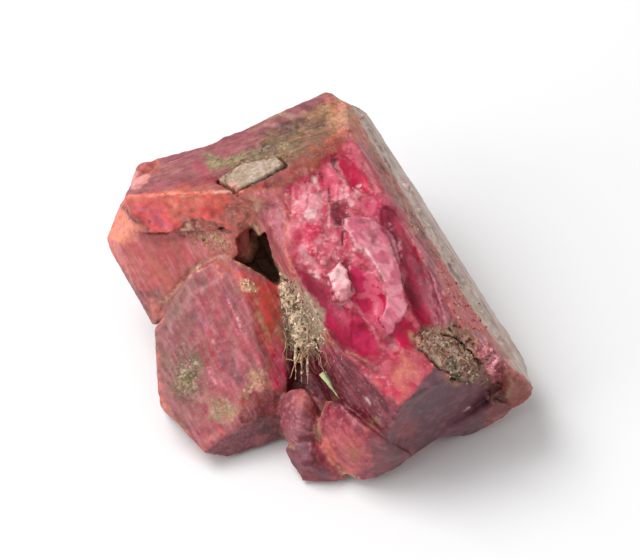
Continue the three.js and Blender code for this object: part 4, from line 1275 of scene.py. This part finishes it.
def sliver():
    """The green sliver, which tapers to a point."""
    skin = Skin("green_sliver", voxel=0.05, slot="green_flake")
    skin.look()
    low, high = skin.points @ PLUNGE, (skin.points @ PLUNGE).max()
    point = ramp(low.min(), high, low)[:, None]
    spine = skin.points.mean(0) + (low - low.mean())[:, None] * PLUNGE
    skin.points = spine + (skin.points - spine) * (1 - 0.85 * point)
    skin.tint[:] = linear(*SAGE)
    skin.mottle(0.4 * skin.everywhere, CREAM, 0.4, 0.3, 81, PLUNGE)
    skin.lift(0.04 * clouds(skin.points, 0.5, 83))
    skin.finish(stone_finish("sliver_pearl", rough=0.4, gloss_share=0.2, bump=0.02, glow=0.15, grain=0.2))
    return skin.object


# ---------------------------------------------------------------- loose grains and hairs
LOOSE_HABIT = (0.1, 0.6, 0.3)  # grit, gloss and glint of loose bits


class Pile:
    """Many small bits of one mineral in one mesh."""

    def __init__(self, name, slot, seed):
        self.name, self.slot = name, slot
        self.random = np.random.default_rng(seed)
        self.points, self.faces, self.tints, self.count = [], [], [], 0

    def add(self, points, faces, tint):
        """Adds one bit, a little lighter or darker than its tint."""
        self.faces += [[self.count + i for i in face] for face in faces]
        self.points.append(points)
        light = linear(*tint) * self.random.uniform(0.75, 1.2)
        self.tints.append(np.broadcast_to(light, (len(points), 3)))
        self.count += len(points)

    def grain(self, at, radius, tint):
        """An angular grain: a ball of twelve corners, each pushed in or out."""
        shape = BALL * self.random.uniform(0.6, 1.15, (len(BALL), 1)) * radius
        turn, _ = np.linalg.qr(self.random.normal(size=(3, 3)))
        self.add(at + (shape * self.random.uniform(0.7, 1.2, 3)) @ turn, BALL_FACES, tint)

    def hair(self, at, way, length, radius, curl, tint):
        """A thin hair that wanders as it grows."""
        steps = 8
        ring, faces = [], []
        for i in range(steps + 1):
            side = np.cross(way, TOWARD)
            side /= np.linalg.norm(side)
            other = np.cross(way, side)
            wide = radius * (1 - 0.6 * i / steps)
            ring += [at + wide * (side * a + other * b) for a, b in ((1, 0), (0, 1), (-1, 0), (0, -1))]
            at = at + way * length / steps
            way = way + curl * self.random.normal(size=3)
            way /= np.linalg.norm(way)
        for i in range(steps):
            for j in range(4):
                k = (j + 1) % 4
                faces.append((4 * i + j, 4 * i + k, 4 * i + 4 + k, 4 * i + 4 + j))
        faces += [(3, 2, 1, 0), tuple(4 * steps + j for j in range(4))]
        self.add(np.array(ring), faces, tint)

    def finish(self, material):
        mesh = bpy.data.meshes.new(self.name)
        points = np.concatenate(self.points) * MM
        mesh.from_pydata(points.tolist(), [], self.faces)
        paint_mesh(mesh, np.concatenate(self.tints), LOOSE_HABIT)
        piece = bpy.data.objects.new(self.name, mesh)
        bpy.context.scene.collection.objects.link(piece)
        piece.data.materials.append(material)
        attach(piece, "root")


GOLD = (1 + 5**0.5) / 2
BALL = np.array(
    [(0, a, b * GOLD) for a in (-1, 1) for b in (-1, 1)]
    + [(a, b * GOLD, 0) for a in (-1, 1) for b in (-1, 1)]
    + [(b * GOLD, 0, a) for a in (-1, 1) for b in (-1, 1)]
) / math.hypot(1, GOLD)


def ball_faces():
    """The twenty faces between corners that stand next to each other, seen from outside."""
    near = 2 / math.hypot(1, GOLD) * 1.01
    faces = []
    for i in range(12):
        for j in range(i + 1, 12):
            for k in range(j + 1, 12):
                a, b, c = BALL[i], BALL[j], BALL[k]
                if max(np.linalg.norm(a - b), np.linalg.norm(b - c), np.linalg.norm(c - a)) < near:
                    out = np.cross(b - a, c - a) @ (a + b + c) > 0
                    faces.append((i, j, k) if out else (i, k, j))
    return faces


BALL_FACES = ball_faces()

# where grains lie: area, how many, smallest and largest radius, tints
GRAIN_FIELDS = (
    ("frost", 14, 0.05, 0.12, (BLUSH, PINK)),
    ("plate_foot", 12, 0.05, 0.12, (BLUSH, PINK)),
    ("frost_ridge", 16, 0.05, 0.14, (FROST, BLUSH)),
    ("patch_crystals", 16, 0.1, 0.24, (BLUSH, ROSE, DUSK)),
    ("under_ledge", 60, 0.06, 0.16, (STRAW, KHAKI, BROWN)),
    ("chip", 30, 0.08, 0.22, (CREAM, PEACH)),
    ("speckle", 34, 0.05, 0.13, (KHAKI, BLUSH, OLIVE)),
    ("top_olive", 30, 0.05, 0.14, (KHAKI, OLIVE)),
    ("olive_spot", 26, 0.06, 0.16, (KHAKI, STRAW)),
    ("corner_orange", 30, 0.06, 0.16, (STRAW, SALMON)),
    ("patch_ground", 240, 0.06, 0.2, (TAUPE, BROWN, TAUPE, SILT, UMBER)),
    ("crust_ground", 190, 0.06, 0.22, (SILT, CREAM, KHAKI, BROWN)),
    ("coral_strip", 60, 0.07, 0.2, (SALMON, BRICK, STRAW)),
    ("edge_chips", 24, 0.05, 0.16, (STRAW, BRICK)),
    ("flank_head", 20, 0.05, 0.12, (BLUSH, ROSE)),
)
# where hairs grow: area, how many, their way in the picture, length, radius, curl, tints
HAIR_FIELDS = (
    ("crust_mat", 60, (0.3, 1.0), 0.8, 0.045, 0.4, (SILT, ASH, KHAKI)),
    ("left_fringe", 7, (0.05, 1.0), 2.6, 0.07, 0.12, (STRAW, KHAKI)),
    ("middle_fringe", 7, (0.12, 1.0), 2.6, 0.07, 0.1, (STRAW, KHAKI)),
    ("right_fringe", 16, (0.5, 1.0), 1.5, 0.05, 0.3, (STRAW, BLUSH)),
    ("patch_needles", 14, (0.55, 1.0), 1.4, 0.04, 0.15, (STRAW, KHAKI)),
)


def ground_of(pieces):
    """What loose bits can lie on."""
    points, faces = [], []
    for piece in pieces:
        start = len(points)
        points += [vertex.co / MM for vertex in piece.data.vertices]
        faces += [[start + i for i in face.vertices] for face in piece.data.polygons]
    return BVHTree.FromPolygons(points, faces)


def landing(tree, x, y):
    """Where the eye's ray through a place of the picture meets the stone, and the normal there."""
    place, normal, *_ = tree.ray_cast(Vector(EYE), Vector(sight(x, y)))
    return (np.array(place), np.array(normal)) if place else (None, None)


def scatter(tree, random, outline, count):
    """Landings spread over an outline of the picture."""
    across, down = zip(*outline)
    found = []
    for _ in range(count * 4):
        x = random.uniform(min(across), max(across))
        y = random.uniform(min(down), max(down))
        if depth_inside(np.array([x]), np.array([y]), list(outline))[0] > 0:
            place, normal = landing(tree, x, y)
            if place is not None:
                found.append((place, normal))
        if len(found) == count:
            break
    return found


def strew(ground):
    """Loose grains and hairs, lying on the stone."""
    grains = Pile("loose_grains", "spinel", 5)
    for name, count, small, large, tints in GRAIN_FIELDS:
        for place, normal in scatter(ground, grains.random, AREAS[name], count):
            radius = small + (large - small) * grains.random.random() ** 2
            tint = tints[grains.random.integers(len(tints))]
            grains.grain(place + normal * 0.2 * radius, radius, tint)
    stone = stone_finish("grain_glass", rough=0.4, gloss_share=0.25, bump=0.02, glow=0.1, grain=0.15)
    grains.finish(stone)
    hairs = Pile("hairs", "crust", 6)
    for name, count, (right, down), length, radius, curl, tints in HAIR_FIELDS:
        for place, normal in scatter(ground, hairs.random, AREAS[name], count):
            way = right * ACROSS - down * UPWARD + 0.5 * hairs.random.normal(size=3) + 0.3 * normal
            tint = tints[hairs.random.integers(len(tints))]
            reach = length * hairs.random.uniform(0.5, 1.3)
            way = way / np.linalg.norm(way)
            hairs.hair(place + normal * 0.05, way, reach, radius, curl, tint)
    hairs.finish(stone_finish("hair_pearl", rough=0.6, gloss_share=0.1, bump=0.01, glow=0.0, grain=0.15))


# ---------------------------------------------------------------- the scene
place_camera()
light_the_stage()
lay_the_floor()
strew(ground_of([cluster(), crust(), matrix(), lath(), sliver()]))
